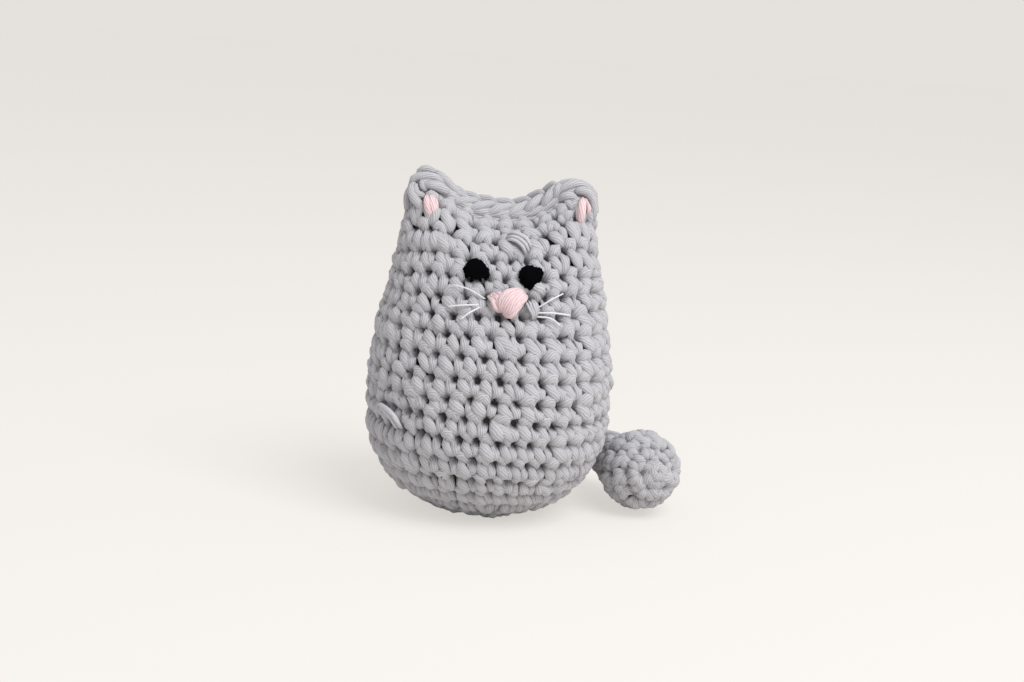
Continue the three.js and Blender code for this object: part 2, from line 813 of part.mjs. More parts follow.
// The whiskers: straight stitches of white thread, three on each cheek, each from its root beside
// the nose to its tip.
const whiskerShares = {
  left_whisker_upper: [[-0.147, 0.758], [-0.256, 0.773], [-0.391, 0.787]],
  left_whisker_middle: [[-0.19, 0.743], [-0.31, 0.732], [-0.419, 0.722]],
  left_whisker_lower: [[-0.182, 0.727], [-0.256, 0.711], [-0.326, 0.688]],
  right_whisker_upper: [[0.267, 0.738], [0.36, 0.755], [0.457, 0.776]],
  right_whisker_middle: [[0.256, 0.723], [0.384, 0.719], [0.516, 0.711]],
  right_whisker_lower: [[0.256, 0.709], [0.36, 0.701], [0.434, 0.682]],
};
for (const [name, shares] of Object.entries(whiskerShares)) {
  add(cat, name, surfaceThread(shares, whiskerThread), threadWhite);
}

// Ends of the cover's yarn, darned in on the outside: one on the forehead, one low on the side.
const darnedEndShares = {
  darned_end_forehead: [[-0.023, 0.97], [0.078, 0.952], [0.198, 0.911]],
  darned_end_side: [[-0.841, 0.383], [-0.783, 0.343], [-0.717, 0.302]],
};
for (const [name, shares] of Object.entries(darnedEndShares)) {
  add(cat, name, surfaceThread(shares, darnedYarn), yarnGrey);
}

// The tail: a stuffed tube that starts from a gathered root, curls forward round the side and ends
// in a bulb beside the body.
const tailRootHeading = 26; // degrees, the way the root points, from +X towards the back
const tailBendShare = 0.5; // how far the widest bend stands out, as a share of the tail's reach
const bulbHeading = -74; // degrees, the way the bulb points
const bulbLift = 13; // degrees, how far the bulb points up
const heading = (degrees, lift = 0) => {
  const turn = THREE.MathUtils.degToRad(degrees);
  const rise = THREE.MathUtils.degToRad(lift);
  return new THREE.Vector3(
    Math.cos(turn) * Math.cos(rise),
    Math.sin(turn) * Math.cos(rise),
    Math.sin(rise),
  );
};
const bulbHeight = tailFloorGap + tailBulbRadius;
const bulbCentre = new THREE.Vector3(
  coverRadiusAt(bulbHeight, 0) + tailSideGap + tailBulbRadius,
  -tailAheadShare * halfDepth,
  bulbHeight,
);
const tailReach = Math.hypot(bulbCentre.x - tailPivot.x, bulbCentre.y - tailPivot.y);
const rootDirection = heading(tailRootHeading);
const bulbDirection = heading(bulbHeading, bulbLift);
const tailCurve = new THREE.CurvePath();
tailCurve.add(
  new THREE.LineCurve3(
    tailPivot.clone().addScaledVector(rootDirection, -tailRootRadius),
    tailPivot.clone(),
  ),
);
tailCurve.add(
  new THREE.CubicBezierCurve3(
    tailPivot.clone(),
    tailPivot.clone().addScaledVector(rootDirection, tailBendShare * tailReach),
    bulbCentre.clone().addScaledVector(bulbDirection, -tailBendShare * tailReach),
    bulbCentre.clone(),
  ),
);
tailCurve.add(
  new THREE.LineCurve3(
    bulbCentre.clone(),
    bulbCentre.clone().addScaledVector(bulbDirection, tailBulbRadius),
  ),
);
const tailLength = tailCurve.getLength();
const bulbAt = tailLength - tailBulbRadius;

// The tail's radius at a distance along it: a ball at the root, a neck, the tube and the bulb.
const neckShare = 0.16; // where the neck is narrowest, as a share of the way to the bulb
const tubeShare = 0.5; // where the tube has its full radius
function tailRadius(along) {
  const ball = tailRootRadius ** 2 - (along - tailRootRadius) ** 2;
  if (along <= tailRootRadius) return Math.sqrt(Math.max(ball, 0));
  if (along >= bulbAt) return Math.sqrt(Math.max(tailBulbRadius ** 2 - (along - bulbAt) ** 2, 0));
  const way = (along - tailRootRadius) / (bulbAt - tailRootRadius);
  if (way < neckShare) {
    return tailRootRadius + (tailNeckRadius - tailRootRadius) * smooth(way / neckShare);
  }
  if (way < tubeShare) {
    const t = (way - neckShare) / (tubeShare - neckShare);
    return tailNeckRadius + (tailTubeRadius - tailNeckRadius) * smooth(t);
  }
  const t = (way - tubeShare) / (1 - tubeShare);
  return tailTubeRadius + (tailBulbRadius - tailTubeRadius) * smooth(t);
}

// The tail's form, inset by a distance. mouth, where given, is the radius that the inside keeps at
// the root, out through the end, so that the cover stays open there.
function tailForm({ inset, stationCount, sides, mouth = 0 }) {
  const start = mouth > 0 ? 0 : inset / tailLength;
  const end = 1 - inset / tailLength;
  const stations = stationsFor(stationCount).map((s) => start + (end - start) * s);
  return taperedTube(
    tailCurve,
    stations,
    (share) => Math.max(tailRadius(share * tailLength) - inset, mouth),
    sides,
    mouth > 0 ? overrun : 0,
  );
}
const tailCover = solidOf(tailForm({ inset: 0, stationCount: 20, sides: 20 })).subtract(
  solidOf(tailForm({ inset: tailFabric, stationCount: 14, sides: 14, mouth: tailMouthRadius })),
);
add(cat, "tail_cover", geometryFrom(tailCover), yarnGrey);

// The tail's stuffing starts past the neck.
const stuffingStartShare = 0.3;
function tailStuffing() {
  const end = 1 - (tailFabric + clearance) / tailLength;
  const stations = stationsFor(10).map(
    (s) => stuffingStartShare + (end - stuffingStartShare) * s,
  );
  return taperedTube(
    tailCurve,
    stations,
    (share) => tailRadius(share * tailLength) - tailFabric - clearance,
    12,
  );
}
add(cat, "tail_stuffing", tailStuffing(), fibreWhite);

// The knot of the yarn that ties the tail on sits in its mouth, at the pivot.
const knot = new THREE.SphereGeometry(knotRadius, 10, 6);
add(cat, "tail_sewing_knot", knot, yarnGrey).position.copy(tailPivot);
add(cat, "tail_stitch_ring", stitchRing(0), yarnGrey);

export default cat;
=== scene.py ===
# %% [markdown]
# # A small crochet cat
#
# The cat is one tube of single crochet, worked round and round in a spiral from the middle of its
# base, stuffed, and closed flat at the top so that its two corners stand up as ears. Everything
# one sees of it is yarn: hundreds of stitches, a braided seam, embroidered eyes and nose, thread
# whiskers and a crocheted tail. A smooth surface with a picture of stitches on it would lose the
# dark holes between them and the bumpy outline, so each stitch is modelled as the loop of yarn
# that it is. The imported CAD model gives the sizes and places, and nothing in it is moved.

import json
import math

import bpy
import numpy as np
from mathutils import Matrix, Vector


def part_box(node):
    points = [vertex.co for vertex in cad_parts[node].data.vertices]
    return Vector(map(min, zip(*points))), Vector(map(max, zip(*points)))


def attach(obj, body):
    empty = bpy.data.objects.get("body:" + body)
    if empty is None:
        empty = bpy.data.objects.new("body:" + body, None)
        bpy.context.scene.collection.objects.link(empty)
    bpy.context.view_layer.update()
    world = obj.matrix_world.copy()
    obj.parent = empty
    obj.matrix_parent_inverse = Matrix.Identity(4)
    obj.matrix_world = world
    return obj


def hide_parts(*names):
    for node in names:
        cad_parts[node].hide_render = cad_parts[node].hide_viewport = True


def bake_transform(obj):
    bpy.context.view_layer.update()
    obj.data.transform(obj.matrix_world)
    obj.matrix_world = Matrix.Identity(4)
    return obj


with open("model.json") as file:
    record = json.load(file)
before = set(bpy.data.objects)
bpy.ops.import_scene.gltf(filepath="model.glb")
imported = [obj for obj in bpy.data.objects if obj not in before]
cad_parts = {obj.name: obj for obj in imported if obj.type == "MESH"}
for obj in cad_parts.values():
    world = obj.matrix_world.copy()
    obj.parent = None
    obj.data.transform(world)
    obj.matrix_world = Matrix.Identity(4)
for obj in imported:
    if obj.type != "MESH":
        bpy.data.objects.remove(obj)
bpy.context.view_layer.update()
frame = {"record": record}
MM = 0.001  # shapes are worked out in millimetres, and meshes are in metres

# %% [markdown]
# ## Curves
#
# Most shapes here follow curves that are given by a few points. A Bezier curve misses its middle
# points, but a Catmull-Rom spline passes through all of them, so a point can be measured and typed
# in. The centripetal kind doesn't overshoot where points lie close together.


# %% Splines and steps
def spline(points, steps):
    """Centripetal Catmull-Rom spline through points (n, d), in so many steps from each to the next.

    Its time from one point to the next is the square root of their distance."""
    points = np.asarray(points, float)
    before, after = 2 * points[0] - points[1], 2 * points[-1] - points[-2]
    p = np.vstack([before, points, after])
    out = []
    for i in range(len(points) - 1):
        q = p[i : i + 4]
        gaps = np.maximum(np.linalg.norm(np.diff(q, axis=0), axis=1), 1e-6)
        t = np.cumsum([0, *np.sqrt(gaps)])
        u = np.linspace(t[1], t[2], steps, endpoint=False)[:, None]

        def mix(a, b, j, k):
            return ((t[k] - u) * a + (u - t[j]) * b) / (t[k] - t[j])

        a1, a2, a3 = mix(q[0], q[1], 0, 1), mix(q[1], q[2], 1, 2), mix(q[2], q[3], 2, 3)
        out.append(mix(mix(a1, a2, 0, 2), mix(a2, a3, 1, 3), 1, 2))
    return np.vstack([*out, points[-1:]])


def smooth(t):
    """3 t^2 - 2 t^3, which goes from 0 to 1 with level ends."""
    t = np.clip(t, 0, 1)
    return t * t * (3 - 2 * t)


def unit(v):
    """Vectors divided by their own lengths."""
    return v / np.maximum(np.linalg.norm(v, axis=-1, keepdims=True), 1e-12)


def lengths_along(points):
    """Distance along a line of points to each of them: a running sum of the steps between."""
    return np.r_[0, np.cumsum(np.linalg.norm(np.diff(points, axis=0), axis=1))]


arch = spline([(0, 0), (1, 1), (2, 0)], 20)
print(f"an arch through three points: {len(arch)} places, {lengths_along(arch)[-1]:.2f} long")

# %% [markdown]
# ## The body's surface
#
# A crocheter shapes the body by counting stitches, and the stuffing rounds it out. Here it is one
# formula: an outline of half widths and half depths, a cross section that turns from a circle
# into a flattened oval towards the seam, and a lift that raises the two corners as ears. The
# surface is kept as a grid of places and normals over two coordinates, the turn round the body
# and the way up it, so that a stitch can be bent onto it wherever it belongs.


# %% The body's outline
def box_mm(node):
    """Lowest and highest corner of a CAD node, in millimetres."""
    low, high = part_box(node)
    return np.array(low) / MM, np.array(high) / MM


body_high = box_mm("body_cover")[1]
half_width, half_depth = body_high[0], body_high[1]
EAR_RISE = 5.7  # how far the ears stand above the seam's middle, in mm
EAR_REACH = 15.7  # how far their tips are from the middle
EAR_FADE = 15.0  # how far under the seam the lift begins
EAR_SHARPNESS, EAR_DROP = 1.6, 0.4  # how late the lift comes, and the share lost beyond the tip
seam_height = body_high[2] - EAR_RISE
TOP_WIDTH_SHARE = 0.75  # the seam's width over the body's
TOP_HALF_DEPTH = 3.6  # two layers of fabric and the gap between them, halved
BASE_SAG = 0.5  # how far the base's middle would bulge down if the floor didn't press it flat
PROFILE_SHARES = np.array(
    [
        # height, half width and half depth, as shares of the seam's height and the body's halves
        [0.0, 0.4, 0.4],
        [0.041, 0.605, 0.605],
        [0.083, 0.755, 0.755],
        [0.153, 0.89, 0.89],
        [0.247, 0.978, 0.978],
        [0.35, 1.0, 1.0],
        [0.46, 0.999, 0.98],
        [0.585, 0.969, 0.902],
        [0.715, 0.905, 0.757],
        [0.825, 0.848, 0.592],
        [0.91, 0.803, 0.431],
        [0.955, 0.78, 0.325],
        [0.985, 0.764, 0.22],
    ]
)
profile = PROFILE_SHARES * [seam_height, half_width, half_depth]
top = [seam_height, TOP_WIDTH_SHARE * half_width, TOP_HALF_DEPTH]
outline = spline(np.vstack([[-BASE_SAG, 0, 0], profile, top]), 60)
print(f"body {2 * half_width:.1f} x {2 * half_depth:.1f} mm, seam at {seam_height:.1f} mm")


def ear_lift(height, across):
    """How far the ears raise the surface at a height and a distance across.

    Across, it rises as half of 1 - cos to the ear's tip and falls off by a parabola beyond it."""
    x = np.abs(across)
    corner = TOP_WIDTH_SHARE * half_width
    rise = (1 - np.cos(np.pi * np.clip(x / EAR_REACH, 0, 1) ** EAR_SHARPNESS)) / 2
    drop = 1 - EAR_DROP * np.clip((x - EAR_REACH) / (corner - EAR_REACH), 0, None) ** 2
    share = np.where(x > EAR_REACH, drop, rise)
    return EAR_RISE * smooth((height - seam_height + EAR_FADE) / EAR_FADE) * share


# %% [markdown]
# ## A surface to crochet on
#
# A `Sheet` is such a grid. `at(turn, way)` returns the place, the outward normal and the two
# directions along the surface, found between the grid's points by weighing the nearest four.
# The same class serves the body and the tail.


# %% Sheet
class Sheet:
    """Places on a closed round surface: turn counts once round it, way runs from pole to end."""

    def __init__(self, places):
        self.places = places  # (ways, turns, 3)
        right = np.roll(places, -1, 1) - np.roll(places, 1, 1)
        up = np.gradient(places, axis=0)
        right[0], up[0] = right[1], up[1]
        self.normals = unit(np.cross(right, up))
        self.rights = unit(right)

    def at(self, turn, way):
        """Place, normal, right and up for arrays of turns and ways."""
        ways, turns = self.places.shape[:2]
        column, row = (turn % 1) * turns, np.clip(way, 0, 1) * (ways - 1)
        c0, r0 = np.floor(column).astype(int), np.minimum(np.floor(row).astype(int), ways - 2)
        fc, fr = (column - c0)[..., None], (row - r0)[..., None]
        c0, c1 = c0 % turns, (c0 + 1) % turns

        def blend(grid):
            low = grid[r0, c0] * (1 - fc) + grid[r0, c1] * fc
            high = grid[r0 + 1, c0] * (1 - fc) + grid[r0 + 1, c1] * fc
            return low * (1 - fr) + high * fr

        normal, right = unit(blend(self.normals)), blend(self.rights)
        right = unit(right - (right * normal).sum(-1, keepdims=True) * normal)
        return blend(self.places), normal, right, np.cross(normal, right)


# %% [markdown]
# ## The body as a grid
#
# A round cushion would be a circle at every height. This body is pressed flat under the seam, so
# each ring is a superellipse, |x/a|^p + |y/b|^p = 1, whose power p grows from 2, an ellipse, to
# 2.8. The places on a ring are moved to equal steps of its length, or stitches would crowd at its
# sides.


# %% The body's grid
FLAT_FROM, TOP_POWER = 0.7, 2.8  # the height, as a share, where it gets flat, and how flat


def body_grid(ways=280, turns=480):
    """Rings at equal steps up the outline, x = a cos^(2/p), y = b sin^(2/p), evened out."""
    along = lengths_along(outline)
    level = np.linspace(0, along[-1], ways)
    z, a, b = (np.interp(level, along, outline[:, i]) for i in range(3))
    flat = smooth((z / seam_height - FLAT_FROM) / (1 - FLAT_FROM))
    power = 2 + (TOP_POWER - 2) * flat
    angle = np.linspace(0, 2 * np.pi, 4 * turns + 1)
    c, s = np.cos(angle), np.sin(angle)
    x = a[:, None] * np.sign(c) * np.abs(c) ** (2 / power[:, None])
    y = b[:, None] * np.sign(s) * np.abs(s) ** (2 / power[:, None])
    rings = np.stack([x, y, z[:, None] + ear_lift(z[:, None], x)], -1)
    places = np.zeros((ways, turns, 3))
    for i, ring in enumerate(rings):
        walked = lengths_along(ring)
        even = np.linspace(0, walked[-1], turns, endpoint=False)
        places[i] = np.stack([np.interp(even, walked, ring[:, j]) for j in range(3)], -1)
    places[0] = [0, 0, z[0]]
    return places


body = Sheet(body_grid())
widest = body.places[body.places[..., 0].max(1).argmax()]
print(f"body grid {body.places.shape[:2]}, {lengths_along(widest)[-1]:.0f} mm round at its widest")

# %% [markdown]
# ## The stitch
#
# A single crochet stitch shows as three thick bits of one yarn. Two legs lie in a V whose point
# goes into a hole of the row below, the left one longer and more slanted. Above them the stitch's
# top loop bulges forward, from the hole on its left to the hole on its right, and the next row is
# worked into those holes. The places below were read off a zoomed picture of such fabric: across
# and up in stitches from the V's point, out of the fabric and the yarn's radius in millimetres.
# Soft yarn is squeezed thin in a hole and swells where it lies free. Padded fabric is often made
# with a cloth simulation, but that swells a thin sheet, and this is one yarn pulled through its own
# loops some 700 times, so its squeeze and bulge are written down instead.

# %% The strands of one stitch
LEFT_LEG = [
    # across, up, out, radius
    [-0.60, 1.05, -0.90, 0.70],
    [-0.52, 0.92, 0.15, 1.00],
    [-0.43, 0.75, 0.62, 1.18],
    [-0.32, 0.57, 0.82, 1.22],
    [-0.20, 0.40, 0.76, 1.10],
    [-0.09, 0.24, 0.45, 0.90],
    [-0.02, 0.12, -0.60, 0.55],
]
RIGHT_LEG = [
    [0.03, 1.06, -0.90, 0.60],
    [0.06, 0.93, 0.05, 0.86],
    [0.11, 0.79, 0.60, 1.00],
    [0.13, 0.62, 0.80, 1.04],
    [0.12, 0.44, 0.70, 0.97],
    [0.07, 0.26, 0.40, 0.82],
    [0.01, 0.12, -0.60, 0.55],
]
TOP_LOOP = [
    [-0.74, 1.00, -1.00, 0.55],
    [-0.63, 1.09, -0.05, 0.90],
    [-0.51, 1.20, 0.50, 1.10],
    [-0.38, 1.31, 0.76, 1.20],
    [-0.27, 1.35, 0.82, 1.22],
    [-0.19, 1.25, 0.74, 1.14],
    [-0.16, 1.09, 0.50, 1.02],
    [-0.14, 0.95, 0.10, 0.88],
    [-0.12, 0.82, -0.80, 0.70],
]
STRAND_RINGS, STRAND_SIDES = 8, 7  # rings along a strand, and corners round it


def resample(points, count):
    """A curve through points, cut into count places at equal steps over its first two columns."""
    fine = spline(points, 12)
    along = lengths_along(fine[:, :2])
    even = np.linspace(0, along[-1], count)
    return np.stack([np.interp(even, along, column) for column in fine.T], -1)


STRANDS = np.stack([resample(s, STRAND_RINGS) for s in (LEFT_LEG, RIGHT_LEG, TOP_LOOP)])
print("strands, places and values:", STRANDS.shape)

# %% [markdown]
# ## From paths to yarn
#
# Every piece of yarn and thread is a tube round a path. Blender's curves could do that with a
# bevel, but a strand here is pressed flat and pushed aside at the holes, point by point, so its
# rings are worked out. They are turned as little as possible from one to the next, which keeps the
# surface from wringing.


# %% Rings round a path
FLATNESS = 0.68  # a strand's thickness over its width


def tube_rings(centre, radius, sides, start=(0, 0, 1)):
    """Rings (n, k, sides, 3) round paths (n, k, 3): p + r (cos a N + sin a B), N carried along."""
    tangent = unit(np.gradient(centre, axis=1))
    normals = np.zeros_like(centre)
    n = np.broadcast_to(np.asarray(start, float), centre[:, 0].shape)
    for k in range(centre.shape[1]):
        n = n - (n * tangent[:, k]).sum(-1, keepdims=True) * tangent[:, k]
        n = normals[:, k] = unit(n)
    side = np.cross(tangent, normals)
    angle = 2 * np.pi * np.arange(sides) / sides
    c, s = np.cos(angle)[:, None], np.sin(angle)[:, None]
    around = c * normals[:, :, None] + s * side[:, :, None]
    return centre[:, :, None] + radius[..., None, None] * around


def flattened(rings, centre, facing):
    """Rings pressed towards their middle along a facing direction, to FLATNESS of their height."""
    toward = facing[:, :, None]
    out = ((rings - centre[:, :, None]) * toward).sum(-1, keepdims=True)
    return rings - (1 - FLATNESS) * out * toward


straight = np.linspace([0, 0, 0], [0, 0, 10], 5)[None]
print("rings of a straight tube:", tube_rings(straight, np.ones((1, 5)), 7, (1, 0, 0)).shape)

# %% [markdown]
# ## From rings to a mesh
#
# The tubes of a piece share one mesh. Each tube gets two UV maps: "Yarn", in centimetres along the
# yarn and turns round it, which the plies are drawn on, and "OFBake", where every tube has an
# oblong of its own, which a texture can be baked on.


# %% Meshes of tubes
BAKE_GIRTH = 7  # how many mm round a tube the height of its oblong stands for
BAKE_MARGIN = 0.04  # the bare edge of each oblong


def smooth_mesh(name, points, faces):
    """A smooth-shaded mesh from places in mm and faces of their numbers."""
    mesh = bpy.data.meshes.new(name)
    mesh.from_pydata((points * MM).tolist(), [], faces)
    mesh.polygons.foreach_set("use_smooth", np.ones(len(mesh.polygons), bool))
    return mesh


def tube_mesh(name, rings, centre):
    """Closed tubes from rings (n, k, sides, 3): quads between rings and a face at each end."""
    n, k, sides, _ = rings.shape
    ring = np.arange(k - 1)[:, None] * sides + np.arange(sides)
    step = np.arange(k - 1)[:, None] * sides + (np.arange(sides) + 1) % sides
    quads = np.stack([ring, step, step + sides, ring + sides], -1).reshape(-1, 4)
    base = (np.arange(n) * k * sides)[:, None, None]
    quads = (base + quads).reshape(-1, 4)
    first, last = np.arange(sides)[::-1], (k - 1) * sides + np.arange(sides)
    caps = (base + np.stack([first, last])).reshape(-1, sides)
    mesh = smooth_mesh(name, rings.reshape(-1, 3), quads.tolist() + caps.tolist())
    add_uv_maps(mesh, centre, sides)
    return mesh


def add_uv_maps(mesh, centre, sides):
    """u is the length run along a tube and v the turn round it; then both, in the tube's oblong."""
    n, k = centre.shape[:2]
    run = np.linalg.norm(np.diff(centre, axis=1), axis=2).cumsum(1)
    run = np.hstack([np.zeros((n, 1)), run])  # mm along each tube
    turn = np.arange(sides) / sides
    u0, u1 = run[:, :-1, None] + 0 * turn, run[:, 1:, None] + 0 * turn
    v0, v1 = turn + 0 * u0, turn + 1 / sides + 0 * u0
    corners = np.stack([np.stack([u0, u0, u1, u1], -1), np.stack([v0, v1, v1, v0], -1)], -1)
    cap_u = np.stack([run[:, 0], run[:, -1]], 1)[..., None] + 0 * turn
    cap = np.stack([cap_u, np.stack([turn[::-1], turn])[None] + 0 * cap_u], -1)
    yarn = np.vstack([corners.reshape(-1, 2), cap.reshape(-1, 2)])
    mesh.uv_layers.new(name="Yarn").uv.foreach_set("vector", (yarn * [0.1, 1]).ravel())

    columns = max(1, round(math.sqrt(n * BAKE_GIRTH / max(run[:, -1].mean(), 1e-6))))
    rows = math.ceil(n / columns)
    tube = np.arange(n)
    which = np.r_[np.repeat(tube, (k - 1) * sides * 4), np.repeat(tube, 2 * sides)]
    share = yarn[:, 0] / run[which, -1]
    cell = np.stack([which % columns, which // columns], -1)
    inside = BAKE_MARGIN + (1 - 2 * BAKE_MARGIN) * np.stack([share, yarn[:, 1]], -1)
    bake = (cell + inside) / [columns, rows]
    mesh.uv_layers.new(name="OFBake").uv.foreach_set("vector", bake.ravel())


print("UV maps of a piece of yarn: Yarn and OFBake")

# %% [markdown]
# ## From a mesh to a piece
#
# A piece says two things: which CAD body it moves with and which CAD solids it stands for. The
# stitches also keep how deep in the fabric each point lies, because less light gets there, which
# the material needs to know.


# %% Pieces of yarn
def linked(name, data):
    """An object with its data, put into the scene at the origin."""
    made = bpy.data.objects.new(name, data)
    bpy.context.collection.objects.link(made)
    return made


def tube_object(name, rings, centre, depth=None):
    """An object of closed tubes. depth says how deep in the fabric each point lies, in mm."""
    mesh = tube_mesh(name, rings, centre)
    if depth is not None:
        mesh.attributes.new("Depth", "FLOAT", "POINT").data.foreach_set("value", depth.ravel())
    print(f"{name}: strands {len(centre)}, faces {len(mesh.polygons)}")
    return linked(name, mesh)


def tubes(name, centre, radius, sides):
    """Closed round tubes of yarn: centre (n, k, 3), radius (n, k), in mm."""
    return tube_object(name, tube_rings(centre, radius, sides), centre)


def place_piece(made, body_name, slot, *nodes):
    """Says which body a piece rides on and which CAD nodes it stands for; slot, what it is made of,
    is not used.
    """
    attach(made, body_name)
    if nodes:
        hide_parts(*nodes)


def sewn(name, cut, body_name, slot, *nodes, sides=8):
    """A piece of yarn from strands cut to places and radii, placed as above."""
    place_piece(tubes(name, *cut, sides), body_name, slot, *nodes)


# %% [markdown]
# ## Working in rounds
#
# The maker works round and round, clockwise seen from above, and each stitch leaves one hole for
# the next round. So the fabric is known when its holes are known. A round is written down as the
# way up of its holes at three places and the turns of the holes between them. The gap that is
# left round the back is shared out evenly and climbs to where the next round begins, because the
# rounds are one spiral. Where a round has fewer holes than the one below, two stitches meet in one
# loop, and where it has more, two share a hole, as on the real fabric.


# %% Holes
def spiral(rounds):
    """All holes in the order they were worked: (turn, falling by 1 a round, way up).

    A gap round the back gets holes at the spacing of the round before it."""
    holes = []
    for k, (ways, turns) in enumerate(rounds):
        turns = np.sort(np.asarray(turns, float))[::-1]
        anchors = np.linspace(turns[-1], turns[0], 3)
        here = np.stack([turns - k, np.interp(turns, anchors, ways)], -1)
        if holes:
            last = holes[-1]
            gap = last[-1, 0] - here[0, 0]
            step = (last[0, 0] - last[-1, 0]) / max(len(last) - 1, 1)
            count = max(1, round(gap / step))
            share = (np.arange(1, count) / count)[:, None]
            holes.append(last[-1] + share * (here[0] - last[-1]))
        holes.append(here)
    return np.vstack(holes)


def coil(rows):
    """Rounds of a spiral with evenly spaced holes, from rows of (way up, number of holes)."""
    ways = np.array([way for way, _ in rows])
    middle = (ways[:-1] + ways[1:]) / 2
    low, high = np.r_[ways[0], middle], np.r_[middle, ways[-1]]
    low[0] = high[0] = ways[0]
    anchors = zip(high, (low + high) / 2, low)
    return [(three, 1 - np.arange(count) / count) for three, (_, count) in zip(anchors, rows)]


swatch = spiral(coil([(0.0, 12), (0.5, 12), (1.0, 8)]))
print("holes of a small swatch:", len(swatch))

# %% [markdown]
# ## Which holes a stitch joins
#
# Each stitch hangs between two neighbouring holes above it and goes into one hole below. Its place
# says which: the hole that is nearest to where its V should point. A hole that no V goes into would
# leave a gap in the fabric, so it gets a pair of legs of its own, which meet the nearest stitch.


# %% Stitches and their holes
RIGHT_HOLE = 0.23  # how far the hole above a V lies to the right of its point, in stitches
MEETING_SHARE = 0.95  # how thick the yarn is where two stitches share a hole


def joined(holes):
    """For each stitch: the hole below, the one above right, if it has a loop, its share of yarn."""
    first = int((holes[:, 0] > holes[0, 0] - 1).sum())
    upper = np.arange(first, len(holes) - 1)
    wide = holes[upper, 0] - holes[upper + 1, 0]
    aim = holes[upper, 0] + 1 - RIGHT_HOLE * wide
    below = np.abs(holes[None, :, 0] - aim[:, None]).argmin(1)
    below = np.clip(below, 1, None)
    spare = np.setdiff1d(np.arange(1, below.max()), below)
    shared = np.abs(holes[spare, :1] - aim).argmin(1)
    looped = np.arange(len(upper) + len(spare)) < len(upper)
    meets = np.r_[np.isin(np.arange(len(upper)), shared), spare > 0]
    share = np.where(meets, MEETING_SHARE, 1.0)
    return np.r_[below, spare], np.r_[upper, upper[shared]], looped, share


_, _, looped, share = joined(swatch)
print(f"the swatch has {looped.sum()} stitches, and {(share < 1).sum()} V's that meet in a loop")

# %% [markdown]
# ## The ring it starts from
#
# A maker winds the yarn round a finger, works the first six stitches into that ring and draws it
# tight. Without it the pole would be an open hole, so the ring is made as a strand of its own.


# %% The drawn ring
RING_RADIUS, RING_INSET, RING_YARN = 1.3, 1.1, 1.25  # the ring, its depth and its yarn, in mm
FIRST_NORMAL = (0.3, 0.2, 1)  # where a strand's first ring starts, roughly


def drawn_ring(sheet):
    """The yarn of the ring: a circle of RING_RADIUS round the pole whose ends overlap by a tenth.

    The way to that radius is looked up on the first 40 rings, where the distance still grows."""
    reach = np.linalg.norm(sheet.places[:, 0] - sheet.places[0, 0], axis=-1)
    way = np.interp(RING_RADIUS, reach[:40], np.linspace(0, 1, len(reach))[:40])
    turn = np.linspace(0, 1.1, STRAND_RINGS)[None]
    place, normal, _, _ = sheet.at(turn, np.full_like(turn, way))
    centre = place - RING_INSET * normal
    radius = np.full(turn.shape, RING_YARN)
    return tube_rings(centre, radius, STRAND_SIDES, FIRST_NORMAL), normal


print("yarn of the ring at the body's pole:", drawn_ring(body)[0].shape)

# %% [markdown]
# ## Holes that stand open
#
# Where a hook went through, the yarn round the hole is drawn aside and into the fabric. Modelled as
# a dent in each strand, the dents of neighbours wouldn't meet, so the hole does it to whatever yarn
# is near: a bell curve that pushes every point away from the hole's middle and inwards.


# %% Open holes
HOLE_WIDTH, HOLE_HEIGHT = 0.6, 0.76  # how far a hole reaches, in mm
HOLE_ASIDE, HOLE_SINK = 0.3, 2.6  # how far the yarn is drawn aside and in, in mm
HOLE_SOFTNESS = 0.04  # keeps the push finite in a hole's very middle


def opened(rings, centre, middle, directions, strength):
    """Yarn drawn aside and inwards from the three nearest holes, by e^-(x/a)^2-(y/b)^2."""
    out, right, up = directions
    flat = centre.reshape(-1, 3)
    gap = (flat**2).sum(1)[:, None] - 2 * flat @ middle.T + (middle**2).sum(1)
    near = np.argpartition(gap, 3, axis=1)[:, :3].reshape(*centre.shape[:2], 3)
    for k in range(3):
        hole = near[:, :, None, k]
        offset = rings - middle[hole]
        x = (offset * right[hole]).sum(-1, keepdims=True) / HOLE_WIDTH
        y = (offset * up[hole]).sum(-1, keepdims=True) / HOLE_HEIGHT
        pull = np.exp(-(x**2) - y**2) * strength[hole][..., None]
        away = (x * right[hole] + y * up[hole]) / np.sqrt(x**2 + y**2 + HOLE_SOFTNESS)
        rings = rings + pull * (HOLE_ASIDE * away - HOLE_SINK * out[hole])
    return rings


print(f"a hole draws yarn {HOLE_ASIDE} mm aside and up to {HOLE_SINK} mm in")

# %% [markdown]
# ## Bending a stitch onto the body
#
# The pattern of one stitch is flat, and the real stitches are wide and narrow, upright and
# slanting. A lattice modifier could bend one of them at a time. Here the pattern's own numbers are
# used as coordinates: across goes along the turn, up along the way from the hole below to the hole
# above, and out along the normal. A maker's hand isn't exact, so places, depth and thickness vary a
# little.


# %% Strands on their stitches
INSET = 1.85  # from the fabric's outside to the middle of the yarn, in mm
WIDE = 4.7  # the stitch's usual width in mm
LEAST_SIZE, MOST_SIZE = 0.6, 1.2  # limits to how a narrow or a wide stitch swells, as shares
STRAY_ACROSS, STRAY_STITCH, STRAY_UP = 0.035, 0.02, 0.03  # in stitches
STRAY_DEPTH, STRAY_THICKNESS = 0.15, 0.07  # in mm, and as a share


def column(values):
    """One value for each stitch, shaped to meet its strands and their places."""
    return values[:, None, None]


